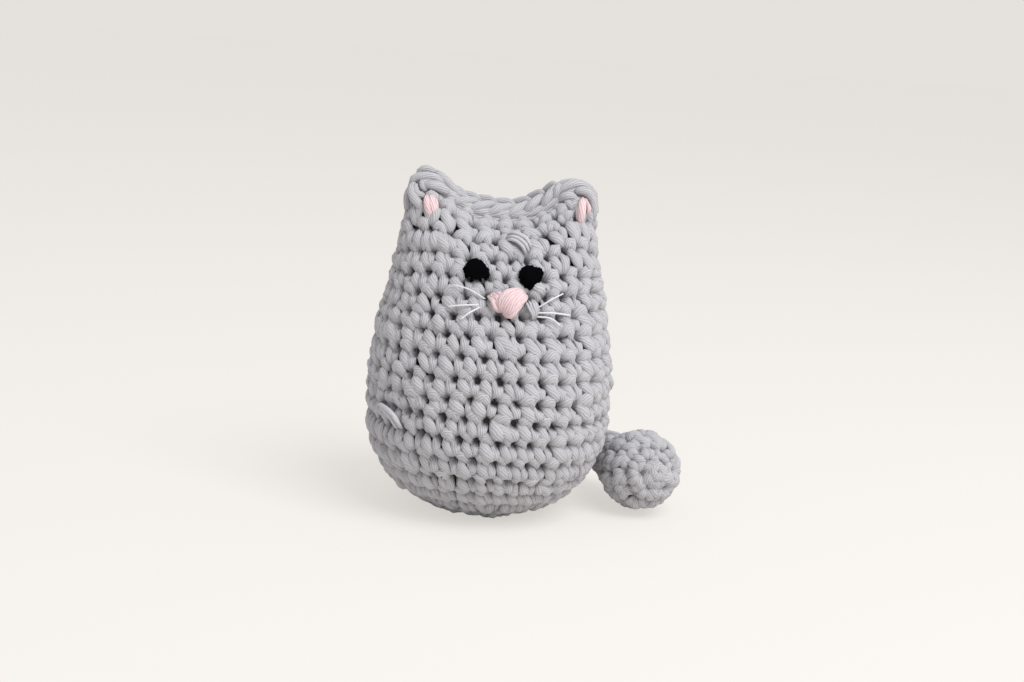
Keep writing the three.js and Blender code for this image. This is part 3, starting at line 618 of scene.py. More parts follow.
def bent_strands(sheet, holes, rng):
    """Each strand's centre, outward normal, place on the sheet's outside and radius.

    turn and way = hole below + up (hole above - hole below) + across times a stitch's width."""
    below, upper, looped, share = joined(holes)
    point, right, left = holes[below], holes[upper], holes[upper + 1]
    wide_above = (right - left)[:, 0]
    wide_below = (holes[below - 1, 0] - holes[np.minimum(below + 1, len(holes) - 1), 0]) / 2
    stray = rng.normal(0, 1, (6, len(upper), 3, 1))  # five are used, and all six are drawn
    across, up, out, radius = np.moveaxis(STRANDS, -1, 0)[:, None]
    across = across + STRAY_ACROSS * stray[0] + STRAY_STITCH * stray[1, :, :1]
    up = up + STRAY_UP * stray[2]
    aside = across - RIGHT_HOLE * up
    wide = column(wide_below) + column(wide_above - wide_below) * np.clip(up, 0, 1)
    turn = column(point[:, 0]) - 1 + column(right[:, 0] + 1 - point[:, 0]) * up + aside * wide
    way = column(point[:, 1]) + column(right[:, 1] - point[:, 1]) * up
    way = way + aside * column(right[:, 1] - left[:, 1])
    place, normal, _, _ = sheet.at(turn, way)

    span = sheet.at(right[:, 0], right[:, 1])[0] - sheet.at(left[:, 0], left[:, 1])[0]
    size = np.clip(np.linalg.norm(span, axis=-1) / WIDE, LEAST_SIZE, MOST_SIZE) ** 0.5
    sunk = out * column(size) - INSET + STRAY_DEPTH * stray[3]
    centre = place + normal * sunk[..., None]
    radius = radius * column(size * share) * (1 + STRAY_THICKNESS * stray[4])
    kept = np.ones((len(upper), 3), bool)
    kept[~looped, 2] = False  # a pair of legs without a top loop
    return [values[kept] for values in (centre, normal, place, radius)]


print(f"strands stray {STRAY_DEPTH} mm in depth and {STRAY_THICKNESS:.0%} in thickness")

# %% [markdown]
# ## Crocheting
#
# `crochet` puts the parts together: holes, strands, the yarn round them, the holes that pull at it
# and the ring. The random numbers are seeded, so that the fabric is the same each time. What hangs
# below the floor's level is pressed flat, as the cat's weight does.


# %% Crochet
STRAY_TURN = 0.03  # how unevenly the holes are spaced, as a share
HOLE_SPREAD = 0.7, 1.3  # how unevenly they stand open, as shares
FLOOR_GAP = 0.02  # mm


def crochet(name, sheet, rounds, seed, heights=(0, 1), openness=(1, 1)):
    """Stitches over a sheet, each between the hole it was worked into and the two above it.

    How far the holes stand open is given by shares at heights in mm."""
    holes = spiral(rounds)
    rng = np.random.default_rng(seed)
    holes[1:-1, 0] += rng.normal(0, STRAY_TURN, len(holes) - 2) * np.diff(holes[:, 0])[1:]
    centre, facing, place, radius = bent_strands(sheet, holes, rng)
    rings = flattened(tube_rings(centre, radius, STRAND_SIDES, FIRST_NORMAL), centre, facing)

    middle, *directions = sheet.at(holes[:, 0], holes[:, 1])
    strength = np.interp(middle[:, 2], heights, openness)
    strength = strength * rng.uniform(*HOLE_SPREAD, len(holes))
    strength[holes[:, 0] > holes[0, 0] - 1] = 0  # the first round is drawn tight
    rings = opened(rings, centre, middle, directions, strength)
    ring, ring_facing = drawn_ring(sheet)
    rings = np.concatenate([ring, rings])
    rings[..., 2] = np.maximum(rings[..., 2], FLOOR_GAP)  # pressed flat where it lies
    centre = np.concatenate([ring.mean(2), centre])
    place = np.concatenate([ring.mean(2), place])
    facing = np.concatenate([ring_facing, facing])
    depth = ((place[:, :, None] - rings) * facing[:, :, None]).sum(-1)
    return tube_object(name, rings, centre, depth)


print(f"the yarn is pressed flat {FLOOR_GAP} mm above the floor")

# %% [markdown]
# ## The body's rounds
#
# The front is what the picture shows, so its holes were read off it, round by round. The base and
# the back aren't seen. The base starts with six stitches in a ring and grows by about six a round,
# which is how a flat disc is crocheted, and the back goes on evenly from the front.


# %% The body's stitches
# A row for each round: the distance up the front at its left, middle and right, in mm, and the
# places of its holes in 36ths of a turn, of which 27 is the middle of the front
FRONT = [
    [(18.4, 19.6, 18.4), (21.5, 22.6, 23.6, 24.7, 25.8, 26.9, 27.9, 28.9, 30.0, 31.0)],
    [(22.4, 23.7, 22.6), (21.9, 22.9, 23.8, 24.8, 25.95, 26.9, 27.85, 28.8, 29.7, 30.7, 31.7)],
    [(26.6, 28.0, 26.0), (20.9, 21.9, 23.0, 23.9, 24.9, 25.9, 26.8, 27.7, 28.5, 29.4, 30.4, 31.4)],
    [(31.6, 32.6, 30.6), (20.6, 21.7, 22.9, 24.0, 25.0, 25.9, 26.9, 27.8, 28.6, 29.5, 30.5, 31.5)],
    [(37.2, 37.0, 35.4),
     (20.2, 21.2, 22.2, 23.2, 24.2, 25.1, 26.0, 27.05, 27.8, 28.6, 29.6, 30.7, 31.9)],
    [(41.0, 41.5, 39.6), (20.6, 21.5, 22.4, 23.2, 24.3, 25.4, 26.4, 27.75, 28.8, 29.8, 30.7, 31.8)],
    [(44.0, 45.5, 43.8), (19.9, 21.0, 22.1, 23.3, 24.5, 25.6, 26.7, 27.8, 28.9, 30.0, 31.0, 32.3)],
    [(48.0, 49.8, 48.5), (19.9, 21.0, 22.3, 23.5, 24.7, 25.8, 26.9, 27.9, 29.0, 30.1, 31.2, 32.4)],
    [(53.2, 54.2, 53.2), (20.2, 21.2, 22.4, 23.6, 24.9, 26.1, 27.0, 28.0, 29.1, 30.2, 31.3, 32.5)],
    [(58.2, 58.8, 58.4), (20.9, 22.4, 24.0, 25.2, 26.4, 27.9, 29.1, 30.3, 31.4, 32.8)],
    [(61.2, 63.0, 63.0), (20.0, 21.4, 22.8, 24.3, 25.6, 26.8, 28.0, 29.2, 30.3, 31.4, 32.9)],
    [(65.5, 67.2, 67.3), (20.3, 21.7, 23.1, 24.7, 26.0, 27.2, 28.4, 29.6, 30.7, 31.9, 33.2)],
    [(69.6, 71.2, 70.6), (20.8, 22.2, 23.6, 24.9, 26.1, 27.1, 28.3, 29.6, 30.8, 32.2)],
    [(73.2, 75.6, 75.0), (21.3, 22.4, 23.6, 24.9, 26.3, 27.5, 28.5, 29.8, 31.1, 32.2, 33.5)],
    [(76.8, 80.2, 81.0), (21.8, 23.5, 25.2, 26.5, 28.2, 29.7, 31.2, 32.4)],
    [(82.6, 84.2, 83.6), (22.0, 23.5, 25.0, 26.5, 27.9, 29.3, 30.7, 32.1)],
    [(87.2, 87.2, 87.2), (22.1, 23.6, 25.1, 26.6, 28.0, 29.4, 30.8, 32.2)],
]
front_line = body.at(np.full(400, 0.75), np.linspace(0, 1, 400))[0]
front_run = lengths_along(front_line)


def body_way(run):
    """The way up the body of a distance up the middle of its front."""
    return np.interp(run, front_run, np.linspace(0, 1, len(front_run)))


# The base's rounds: distance from the middle in mm, and number of holes
BASE = [(0.0, 6), (2.6, 6), (6.2, 12), (10.2, 18), (14.6, 25)]
# Heights in mm, and how far the holes stand open there
BODY_OPENNESS = (8, 22, 48, 58), (0.45, 1.12, 1.05, 0.5)
body_rounds = coil([(body_way(run), count) for run, count in BASE])
body_rounds += [(body_way(runs), np.array(turns) / 36) for runs, turns in FRONT]
body_stitches = crochet("body_stitches", body, body_rounds, 3, *BODY_OPENNESS)
place_piece(body_stitches, "body", "grey_yarn", "body_cover")

# %% [markdown]
# ## The stuffing
#
# The holes between the stitches show dark, because the inside of the fabric and the stuffing lie
# in their shade. Thousands of loose fibres would hardly be seen there, so a closed skin just under
# the stitches stands for both, and stops light from crossing the body. Its colour is painted shade,
# a dark grey, and not the stuffing's own white.


# %% Stuffing under the stitches
def skin(name, sheet, depth, ways, turns, first=0.0, last=1.0):
    """A closed surface, sheet(turn, way) - depth times normal, with a fan of faces at each end."""
    way, turn = np.linspace(first, last, ways), np.arange(turns) / turns
    grid_turn, grid_way = np.meshgrid(turn, way)
    place, normal, _, _ = sheet.at(grid_turn, grid_way)
    points = place - normal * depth
    flat = points.reshape(-1, 3)
    poles = np.vstack([points[0].mean(0), points[-1].mean(0)])
    row = np.arange(ways - 1)[:, None] * turns
    k, k1 = np.arange(turns), (np.arange(turns) + 1) % turns
    quads = np.stack([row + k, row + k1, row + turns + k1, row + turns + k], -1).reshape(-1, 4)
    low, high = len(flat), len(flat) + 1
    end = (ways - 1) * turns
    bottom = np.stack([k1, k, np.full(turns, low)], -1)
    top = np.stack([end + k, end + k1, np.full(turns, high)], -1)
    faces = quads.tolist() + bottom.tolist() + top.tolist()
    print(f"{name}: {len(faces)} faces")
    return linked(name, smooth_mesh(name, np.vstack([flat, poles]), faces))


BODY_SKIN_DEPTH, TAIL_SKIN_DEPTH = 2.8, 2.3  # mm under the fabric's outside
body_filling = skin("body_filling", body, BODY_SKIN_DEPTH, 60, 96, first=0.02, last=0.985)
place_piece(body_filling, "body", "stuffing", "body_stuffing")

# %% [markdown]
# ## The tail
#
# The tail is a smaller tube of the same fabric. It starts from a ring of six stitches at its round
# end, which faces the viewer, and narrows towards the root, where it is sewn to the body. Only
# the round end shows in the picture. The rest follows the CAD tail's curve, a cubic Bezier from the
# pivot to the middle of the round end, which is rebuilt here from the tail's box and its pivot.

# %% The tail's curve
joints = {j["name"]: j for j in frame["record"]["behaviour"]["joints"]}
pivot = np.array(joints["tail_swing"]["pos_m"]) / MM
tail_high = box_mm("tail_cover")[1]
BULB_RADIUS, TUBE_RADIUS, NECK_RADIUS, ROOT_RADIUS = 8.9, 5.7, 3.1, 3.7  # from end to root
bulb_side, bulb_front, bulb_rise = tail_high[0] - BULB_RADIUS - 0.3, 0.05 * half_depth, 0.6
bulb = np.array([bulb_side, -bulb_front, bulb_rise + BULB_RADIUS])


def heading(degrees, lift=0.0):
    """A direction by its compass angle from +X and its rise, both in degrees."""
    a, e = math.radians(degrees), math.radians(lift)
    return np.array([math.cos(a) * math.cos(e), math.sin(a) * math.cos(e), math.sin(e)])


root_way, bulb_way = heading(26), heading(-74, 13)  # the tail's directions at its two ends
bend = 0.5 * np.linalg.norm((bulb - pivot)[:2])
t = np.linspace(0, 1, 120)[:, None]
handles = [pivot, pivot + bend * root_way, bulb - bend * bulb_way, bulb]
weights = [math.comb(3, i) * t**i * (1 - t) ** (3 - i) for i in range(4)]
bezier = sum(weight * handle for weight, handle in zip(weights, handles))
tail_line = np.vstack([pivot - ROOT_RADIUS * root_way, bezier, bulb + BULB_RADIUS * bulb_way])
tail_run = lengths_along(tail_line)
print(f"tail {tail_run[-1]:.1f} mm along its middle, bulb at {bulb.round(1)}")

# %% [markdown]
# ## The tail as a grid
#
# Rings stand across the curve, each with the radius that the tail has there: a ball at the root, a
# narrow neck, a tube that widens and the round end. They are spaced evenly over the surface and
# not along the curve, or the round end's pole would have too few.


# %% The tail's grid
NECK_AT, TUBE_AT = 0.16, 0.5  # as shares of the way from the root's ball to the round end


def tail_radius(along):
    """Radius at a distance from the root: a ball, sqrt(r^2 - d^2), smooth steps and a ball."""
    end = tail_run[-1] - BULB_RADIUS
    way = (along - ROOT_RADIUS) / (end - ROOT_RADIUS)
    neck = ROOT_RADIUS + (NECK_RADIUS - ROOT_RADIUS) * smooth(way / NECK_AT)
    tube = NECK_RADIUS + (TUBE_RADIUS - NECK_RADIUS) * smooth((way - NECK_AT) / (TUBE_AT - NECK_AT))
    round_end = TUBE_RADIUS + (BULB_RADIUS - TUBE_RADIUS) * smooth((way - TUBE_AT) / (1 - TUBE_AT))
    middle = np.where(way < NECK_AT, neck, np.where(way < TUBE_AT, tube, round_end))
    ball = np.sqrt(np.clip(ROOT_RADIUS**2 - (along - ROOT_RADIUS) ** 2, 0, None))
    cap = np.sqrt(np.clip(BULB_RADIUS**2 - (along - end) ** 2, 0, None))
    return np.where(along < ROOT_RADIUS, ball, np.where(along > end, cap, middle))


def tail_grid(ways=160, turns=96):
    """Rings from the bulb's pole to the root, spaced evenly over the surface."""
    fine = tail_run[-1] * (1 - np.cos(np.linspace(0, np.pi, 600))) / 2
    over = lengths_along(np.stack([fine, tail_radius(fine)], -1))
    along = np.interp(np.linspace(over[-1], 0, ways), over, fine)
    centre = np.stack([np.interp(along, tail_run, tail_line[:, i]) for i in range(3)], -1)
    tangent = unit(np.gradient(centre, axis=0))
    tangent[0], tangent[-1] = -bulb_way, -root_way
    side = unit(np.cross(tangent, [0, 0, 1]))
    rise = np.cross(side, tangent)
    angle = 2 * np.pi * np.arange(turns) / turns
    ring = np.cos(angle)[:, None] * side[:, None] - np.sin(angle)[:, None] * rise[:, None]
    return centre[:, None] + tail_radius(along)[:, None, None] * ring


tail = Sheet(tail_grid())
outward = (tail.normals[80] * (tail.places[80] - tail.places[80].mean(0))).sum(-1).mean()
print(f"tail grid {tail.places.shape[:2]}, normals face", "out" if outward > 0 else "in")

# %% [markdown]
# ## The tail's stitches
#
# The same `crochet` covers the tail. It grows to twelve stitches round, stays so over the round
# end, and is worked down to seven at the root. Its holes stand less open, because it is stuffed
# less.

# %% The tail's stitches
TAIL = [
    # way from the round end's pole to the root, number of holes
    (0.0, 6), (0.06, 6), (0.14, 12), (0.24, 12), (0.34, 12), (0.44, 12), (0.53, 11),
    (0.62, 10), (0.71, 9), (0.80, 8), (0.88, 7), (0.95, 7), (0.995, 7),
]
TAIL_OPENNESS = (0, 1), (0.35, 0.35)  # the same at every height
tail_stitches = crochet("tail_stitches", tail, coil(TAIL), 8, *TAIL_OPENNESS)
place_piece(tail_stitches, "tail", "grey_yarn", "tail_cover")
tail_filling = skin("tail_filling", tail, TAIL_SKIN_DEPTH, 48, 32, first=0.02, last=0.93)
place_piece(tail_filling, "tail", "stuffing", "tail_stuffing")

# %% [markdown]
# ## Places on the face
#
# The eyes, the nose and the whiskers are sewn through the fabric, so their places are given as
# seen from the front, across and up in mm, and then found on the body's surface. A Shrinkwrap
# modifier could do that, but here the grid is at hand: the nearest place on it is looked up, and
# its tangent plane says how deep the surface lies at the wanted spot.


# %% From front view to surface
front_places = body.places[:, body.places.shape[1] // 2 :].reshape(-1, 3)
front_normals = body.normals[:, body.places.shape[1] // 2 :].reshape(-1, 3)


def face(points, out=0.0):
    """Places on the body's front at (across, up), and out of it in mm: y = y0 - (n . step) / ny."""
    points = np.asarray(points, float)
    flat = points.reshape(-1, 2)
    gap = ((flat[:, None] - front_places[None, :, [0, 2]]) ** 2).sum(-1)
    nearest = gap.argmin(1)
    place, normal = front_places[nearest], front_normals[nearest]
    dx, dz = flat[:, 0] - place[:, 0], flat[:, 1] - place[:, 2]
    slope = np.minimum(normal[:, 1], -0.2)
    y = place[:, 1] - (normal[:, 0] * dx + normal[:, 2] * dz) / slope
    found = np.stack([flat[:, 0], y, flat[:, 1]], -1).reshape(*points.shape[:-1], 3)
    return found + normal.reshape(found.shape) * np.asarray(out, float)[..., None]


print("the middle of the face:", face([(0, 50)])[0].round(1), "mm")


# %% [markdown]
# ## Strands from rows of numbers
#
# A strand that is seen singly is written down as a few rows, each with a place and the yarn's
# radius there. A spline through them gives the places between, so that a strand keeps its
# own taper and bend, which a bevelled curve of one radius wouldn't.


# %% Strands from rows
def strands(paths, count=12):
    """Paths of (x, y, z, radius) rows as arrays with count places each."""
    cut = np.stack([resample(np.asarray(p, float), count) for p in paths])
    return cut[..., :3], cut[..., 3]


def traced(paths, count=12):
    """Strands on the face, from rows of (across, up, out, radius)."""
    rows = [np.asarray(path, float) for path in paths]
    return strands([np.column_stack([face(r[:, :2], r[:, 2]), r[:, 3]]) for r in rows], count)


bow = strands([[(0, 0, 0, 1), (2, 0, 1, 1), (4, 0, 0, 1)]])
print("places and radii of one strand:", bow[0].shape, bow[1].shape)

# %% [markdown]
# ## The braid on the seam
#
# The open top edge was pressed flat and closed with slip stitches worked through both layers,
# which leave a braid: a row of V's lying on the edge, each slipping into the next one to its
# right. A braid could be one arm repeated along the edge by an array, but its stitches differ in
# length and slope, so the front arm of each was measured and the one behind it mirrored.

# %% The braid
# The front arm of each V, from its left end to its right, across and up in mm
FRONT_ARMS = [
    [(-15.6, 67.9), (-12.2, 66.2)],
    [(-12.6, 65.8), (-8.3, 65.2)],
    [(-10.3, 64.2), (-5.4, 64.4)],
    [(-6.4, 63.2), (-2.0, 64.0)],
    [(-2.8, 62.6), (1.8, 63.7)],
    [(1.2, 62.2), (5.3, 64.5)],
    [(5.0, 63.6), (8.0, 66.1)],
    [(8.3, 64.8), (10.6, 68.0)],
]
ARM = np.array(
    [
        # share of the way along the arm, mm out from the edge, mm up, radius
        [-0.12, 1.6, -1.0, 0.70],
        [0.06, 2.5, 0.0, 0.86],
        [0.35, 2.4, 0.35, 0.98],
        [0.68, 1.7, 0.35, 0.95],
        [1.0, 0.9, 0.1, 0.80],
        [1.2, 0.4, -0.9, 0.65],
    ]
)
BACK_ARM_RISE = 0.7  # the arm behind shows this much above the one in front


def braid_arm(start, end, side):
    """Rows (x, y, z, radius) of an arm: start + share (end - start), then out to a side and up."""
    share, out, up, thick = ARM.T
    across = start[0] + share * (end[0] - start[0])
    height = start[1] + share * (end[1] - start[1]) + up
    height = height + (BACK_ARM_RISE if side > 0 else 0.0)
    return np.stack([across, side * out, height, thick], -1)


arms = [braid_arm(start, end, side) for start, end in FRONT_ARMS for side in (-1, 1)]
print("the braid has", len(FRONT_ARMS), "stitches of two arms")

# %% [markdown]
# ## The ears
#
# At its ends the braid turns down round the corners of the body, which stand up as ears. No rule
# says how the yarn lies there, so each strand that the picture shows was traced: places from the
# front, how far forward they are and the yarn's radius. Under them and under the braid, long
# strands close the edge, as the two pressed layers do on the real cat.

# %% The ears
# Across, out to the back, up and radius in mm
LEFT_EAR = [
    [(-17.9, -1.2, 67.2, 0.7), (-17.2, -1.4, 67.8, 1.0), (-16.2, -1.5, 67.6, 1.1),
     (-15.4, -1.4, 66.6, 0.9)],
    [(-17.4, 0.5, 67.8, 0.7), (-17.2, 0.6, 69.5, 0.85), (-16.5, 0.4, 70.3, 0.95),
     (-15.4, 0.3, 70.3, 0.95), (-14.2, 0.2, 69.6, 0.9), (-13.0, 0, 68.6, 0.8),
     (-12.1, -0.3, 67.6, 0.6)],
    [(-18.9, -1.6, 66.8, 0.7), (-18.8, -1.8, 68.1, 0.85), (-17.8, -2, 69.0, 0.9),
     (-16.2, -2.2, 69.3, 0.95), (-14.6, -2.2, 69.2, 0.95), (-13.1, -2, 68.3, 0.85),
     (-12.1, -1.6, 67.3, 0.65)],
    [(-16.1, -3, 67.1, 0.6), (-15.2, -3.6, 67.7, 0.9), (-13.9, -3.7, 67.6, 1.05),
     (-12.5, -3.4, 67.0, 1), (-11.6, -2.8, 66.1, 0.8)],
    [(-18.3, -2.4, 67.7, 0.6), (-18.9, -3.2, 66.7, 0.85), (-18.6, -4, 65.5, 0.95),
     (-17.6, -4.8, 64.2, 0.95), (-16.4, -5.2, 63.2, 0.85), (-15.3, -5, 62.1, 0.6)],
    [(-18.0, -2.8, 67.6, 0.5), (-18.1, -3.6, 66.5, 0.75), (-17.3, -4, 65.7, 0.75),
     (-16.2, -4, 65.5, 0.6)],
    [(-16.9, -2.6, 68.3, 0.5), (-16.6, -3.2, 67.3, 0.7), (-15.8, -3.3, 66.5, 0.6)],
    [(-14.0, -0.8, 70.0, 0.7), (-12.7, -1.2, 69.2, 0.9), (-11.3, -1.6, 68.0, 0.95),
     (-9.9, -1.8, 66.6, 0.9), (-8.8, -1.8, 65.5, 0.7)],
    [(-13.3, -3.2, 65.6, 0.6), (-12.9, -4.2, 64.6, 0.85), (-12.2, -4.8, 63.2, 0.9),
     (-11.7, -4.8, 62.1, 0.7)],
    [(-11.6, -3, 64.6, 0.6), (-10.9, -4, 63.9, 0.85), (-10.6, -4.4, 62.7, 0.8),
     (-10.8, -4.2, 61.6, 0.6)],
    [(-18.9, -0.6, 66.5, 0.7), (-19.3, -0.8, 65.2, 0.9), (-19.3, -1, 63.8, 0.95),
     (-19.1, -1.2, 62.2, 0.9)],
]
RIGHT_EAR = [
    [(11.1, -1.5, 65.9, 0.6), (11.4, -2, 67.3, 0.85), (12.3, -2.2, 68.5, 0.95),
     (13.7, -2.2, 69.3, 1), (15.4, -2, 69.4, 1), (16.8, -1.8, 68.9, 0.85), (17.6, -1.6, 67.9, 0.6)],
    [(10.6, 0.6, 66.9, 0.8), (11.6, 0.4, 68.5, 0.9), (13.5, 0.2, 69.3, 0.95),
     (15.5, 0.2, 69.3, 0.95), (17.5, 0, 68.6, 0.9), (18.8, -0.2, 67.3, 0.9),
     (19.3, -0.4, 65.5, 0.85), (19.4, -0.6, 63.6, 0.7)],
    [(14.6, -3, 68.0, 0.6), (15.6, -3.4, 68.3, 0.9), (16.9, -3.3, 68.1, 1), (18.0, -3.2, 66.9, 1),
     (18.5, -3.3, 65.4, 0.95), (18.6, -3.6, 63.7, 0.85), (18.4, -3.8, 62.2, 0.6)],
    [(11.5, -2.6, 65.9, 0.6), (12.3, -3.4, 66.9, 0.95), (13.4, -3.7, 67.1, 1),
     (14.5, -3.6, 66.5, 0.85), (14.9, -3.2, 65.6, 0.6)],
    [(12.8, -3.2, 66.2, 0.6), (13.3, -4.1, 65.6, 0.95), (14.2, -4.5, 64.7, 0.95),
     (14.8, -4.5, 63.6, 0.7)],
    [(10.6, -1.6, 65.6, 0.6), (10.7, -2.3, 66.8, 0.85), (10.9, -2.2, 68.0, 0.9),
     (11.6, -1.6, 68.9, 0.75)],
]
EDGE_PLACES = 15
across = np.linspace(-17, 17, EDGE_PLACES)
edge = seam_height + ear_lift(seam_height, across)


def edge_strand(side, down, thick):
    """A strand along the body's edge: to a side of it and down from it, in mm."""
    return np.stack([across, 0 * across + side, edge - down, 0 * across + thick], -1)


under = [edge_strand(side, down, 1.1) for side in (-2.2, 2.2) for down in (0.3, 1.7)]
under.append(edge_strand(0, -0.2, 1.5))
sewn("seam_braid", strands(arms + LEFT_EAR + RIGHT_EAR), "body", "grey_yarn", "top_seam")
sewn("seam_edge", strands(under, 48), "body", "grey_yarn")

# %% [markdown]
# ## Satin stitches
#
# The eyes are filled with satin stitch: strands side by side across the shape, each going in at one
# edge and out at the other. A domed disc would have a clean edge and no strands, so the outline is
# traced and cut by close lines, and each line becomes a strand that rises in the middle.


# %% Filling a shape with strands
ENDS_SUNK = 0.9  # mm, from the surface down to where a strand's ends go in
EDGE_FALL = 0.35  # how much lower the outermost strands stand, as a share
END_THICKNESS, SWELL = 0.7, 0.3  # a strand's radius at its ends, and what its middle adds
STRAY_TILT, STRAY_END, STRAY_RISE, STRAY_RADIUS = 0.03, 0.06, 0.03, 0.04


def satin(outline, angle, spacing, radius, rise, seed, fan=0.0):
    """Strands across a shape: lines at an angle in degrees, turned by fan over the shape.

    A strand stands out by (1 - s^4)^(1/2), where s goes from -1 to 1 along it."""
    rng = np.random.default_rng(seed)
    outline = np.asarray(outline, float)
    middle = outline.mean(0)
    paths = []
    tilt = math.radians(angle)
    across = np.array([-math.sin(tilt), math.cos(tilt)])
    reach = ((outline - middle) @ across).min(), ((outline - middle) @ across).max()
    for s in np.arange(reach[0] + 0.5 * spacing, reach[1], spacing):
        share = s / max(abs(reach[0]), reach[1])
        turn = tilt + math.radians(fan) * share + rng.normal(0, STRAY_TILT)
        along = np.array([math.cos(turn), math.sin(turn)])
        side = np.array([-along[1], along[0]])
        start = middle + s * across
        height = (outline - start) @ side
        place = (outline - start) @ along
        h1, p1 = np.roll(height, -1), np.roll(place, -1)
        cut = (height > 0) != (h1 > 0)
        hits = place[cut] + (p1 - place)[cut] * height[cut] / (height - h1)[cut]
        if len(hits) < 2:
            continue
        ends = np.array([hits.min(), hits.max()]) + rng.normal(0, STRAY_END, 2)
        t = np.linspace(0, 1, 9)
        points = start + (ends[0] + (ends[1] - ends[0]) * t)[:, None] * along
        dome = np.sqrt(np.clip(1 - (2 * t - 1) ** 4, 0, 1)) * (1 - EDGE_FALL * share**2)
        out = -ENDS_SUNK + (rise + ENDS_SUNK) * dome + rng.normal(0, STRAY_RISE)
        thick = END_THICKNESS + SWELL * np.sqrt(np.clip(1 - (2 * t - 1) ** 2, 0, 1))
        thick = radius * thick * (1 + rng.normal(0, STRAY_RADIUS))
        paths.append(np.column_stack([face(points, out), thick]))
    return paths


FLOSS_SPACING, FLOSS_RADIUS, EYE_RISE = 0.34, 0.36, 0.75  # mm
square = [(-1, 49), (1, 49), (1, 51), (-1, 51)]
filled = satin(square, 0, FLOSS_SPACING, FLOSS_RADIUS, EYE_RISE, 1)
print("strands in a square of 2 mm:", len(filled))

# %% [markdown]
# ## The eyes
#
# The left eye is worked across and the right eye almost upright, so their edges fray in different
# places. One eye and its mirror image would look too alike, so both outlines were traced.

# %% Eyes
# Their outlines, across and up in mm
LEFT_EYE = [
    (-8.3, 52.8), (-7.1, 54.2), (-5.9, 54.5), (-4.7, 54.5), (-3.7, 53.7), (-3.1, 52.8),
    (-3.1, 51.5), (-3.5, 51.3), (-4.9, 50.9), (-6.1, 51.0), (-7.3, 51.2), (-7.9, 51.8),
]
RIGHT_EYE = [
    (2.9, 52.3), (3.5, 53.5), (5.3, 54.1), (7.3, 53.6), (7.9, 52.7), (6.9, 51.0), (5.3, 49.9),
    (4.3, 50.4),
]
EYES = [("left_eye", LEFT_EYE, 4, 21), ("right_eye", RIGHT_EYE, 78, 22)]
for name, shape, angle, seed in EYES:
    paths = satin(shape, angle, FLOSS_SPACING, FLOSS_RADIUS, EYE_RISE, seed, fan=10)
    sewn(name + "_stitches", strands(paths, 10), "body", "black_floss", name)

# %% [markdown]
# ## The nose and the inner ears
#
# These are a few thick strands of pink yarn, and each of them shows. Filling an outline would lay
# them too evenly, so they were traced one by one: across, up, out of the surface and radius for
# the nose, which lies on the face, and full places for the inner ears, which lie in front of it.

# %% Nose and inner ears
NOSE = [
    [(-2.3, 48.6, -0.3, 0.4), (-1.5, 47.6, 0.6, 0.6), (-1.2, 46.8, 0.6, 0.6),
     (-0.8, 45.9, -0.6, 0.4)],
    [(-1.6, 48.7, -0.3, 0.4), (-0.9, 48.2, 0.5, 0.6), (-0.6, 47.2, 0.6, 0.6),
     (-0.7, 46.2, -0.6, 0.4)],
    [(-3.2, 48.1, -0.3, 0.3), (-2.4, 46.9, 0.9, 0.42), (-1.9, 45.8, 0.9, 0.42),
     (-1.1, 45.5, -0.6, 0.3)],
    [(-2.7, 48.4, -0.3, 0.35), (-1.9, 47.2, 0.5, 0.5), (-1.4, 46.6, 0.5, 0.5),
     (-0.8, 45.8, -0.6, 0.35)],
    [(-0.8, 45.5, -0.6, 0.4), (-1.1, 46.6, 0.9, 0.62), (-0.8, 47.2, 1.3, 0.68),
     (0.3, 48.4, 1.3, 0.68), (2.1, 49, 0.9, 0.62), (3.1, 49.6, -0.4, 0.4)],
    [(-0.6, 45.5, -0.6, 0.4), (-0.5, 46.4, 1, 0.66), (0.3, 47.2, 1.6, 0.74), (1.6, 48.1, 1.6, 0.74),
     (2.9, 48.7, 1.1, 0.66), (3.9, 49, -0.4, 0.4)],
    [(-0.3, 45.5, -0.6, 0.4), (0, 46.1, 1, 0.66), (1.1, 46.9, 1.6, 0.74), (2.2, 47.5, 1.6, 0.74),
     (3.2, 48.1, 1.1, 0.66), (4.2, 48.7, -0.4, 0.4)],
    [(0, 45.1, -0.6, 0.4), (0.6, 45.5, 0.9, 0.66), (1.4, 46.4, 1.5, 0.72), (2.4, 47.2, 1.5, 0.72),
     (3.5, 47.8, 1, 0.62), (4.5, 48.4, -0.4, 0.4)],
    [(0, 45.1, -0.6, 0.4), (1.1, 45.1, 0.8, 0.6), (1.9, 45.8, 1.2, 0.66), (2.7, 46.6, 1.2, 0.66),
     (3.8, 47.5, 0.8, 0.56), (4.5, 48.1, -0.4, 0.35)],
    [(0.3, 44.8, -0.6, 0.35), (1.4, 44.5, 0.6, 0.52), (2.2, 45.5, 0.9, 0.56), (3, 46.4, 0.9, 0.52),
     (4, 47.5, -0.4, 0.35)],
]
sewn("nose_stitches", traced(NOSE), "body", "pink_yarn", "nose", sides=10)
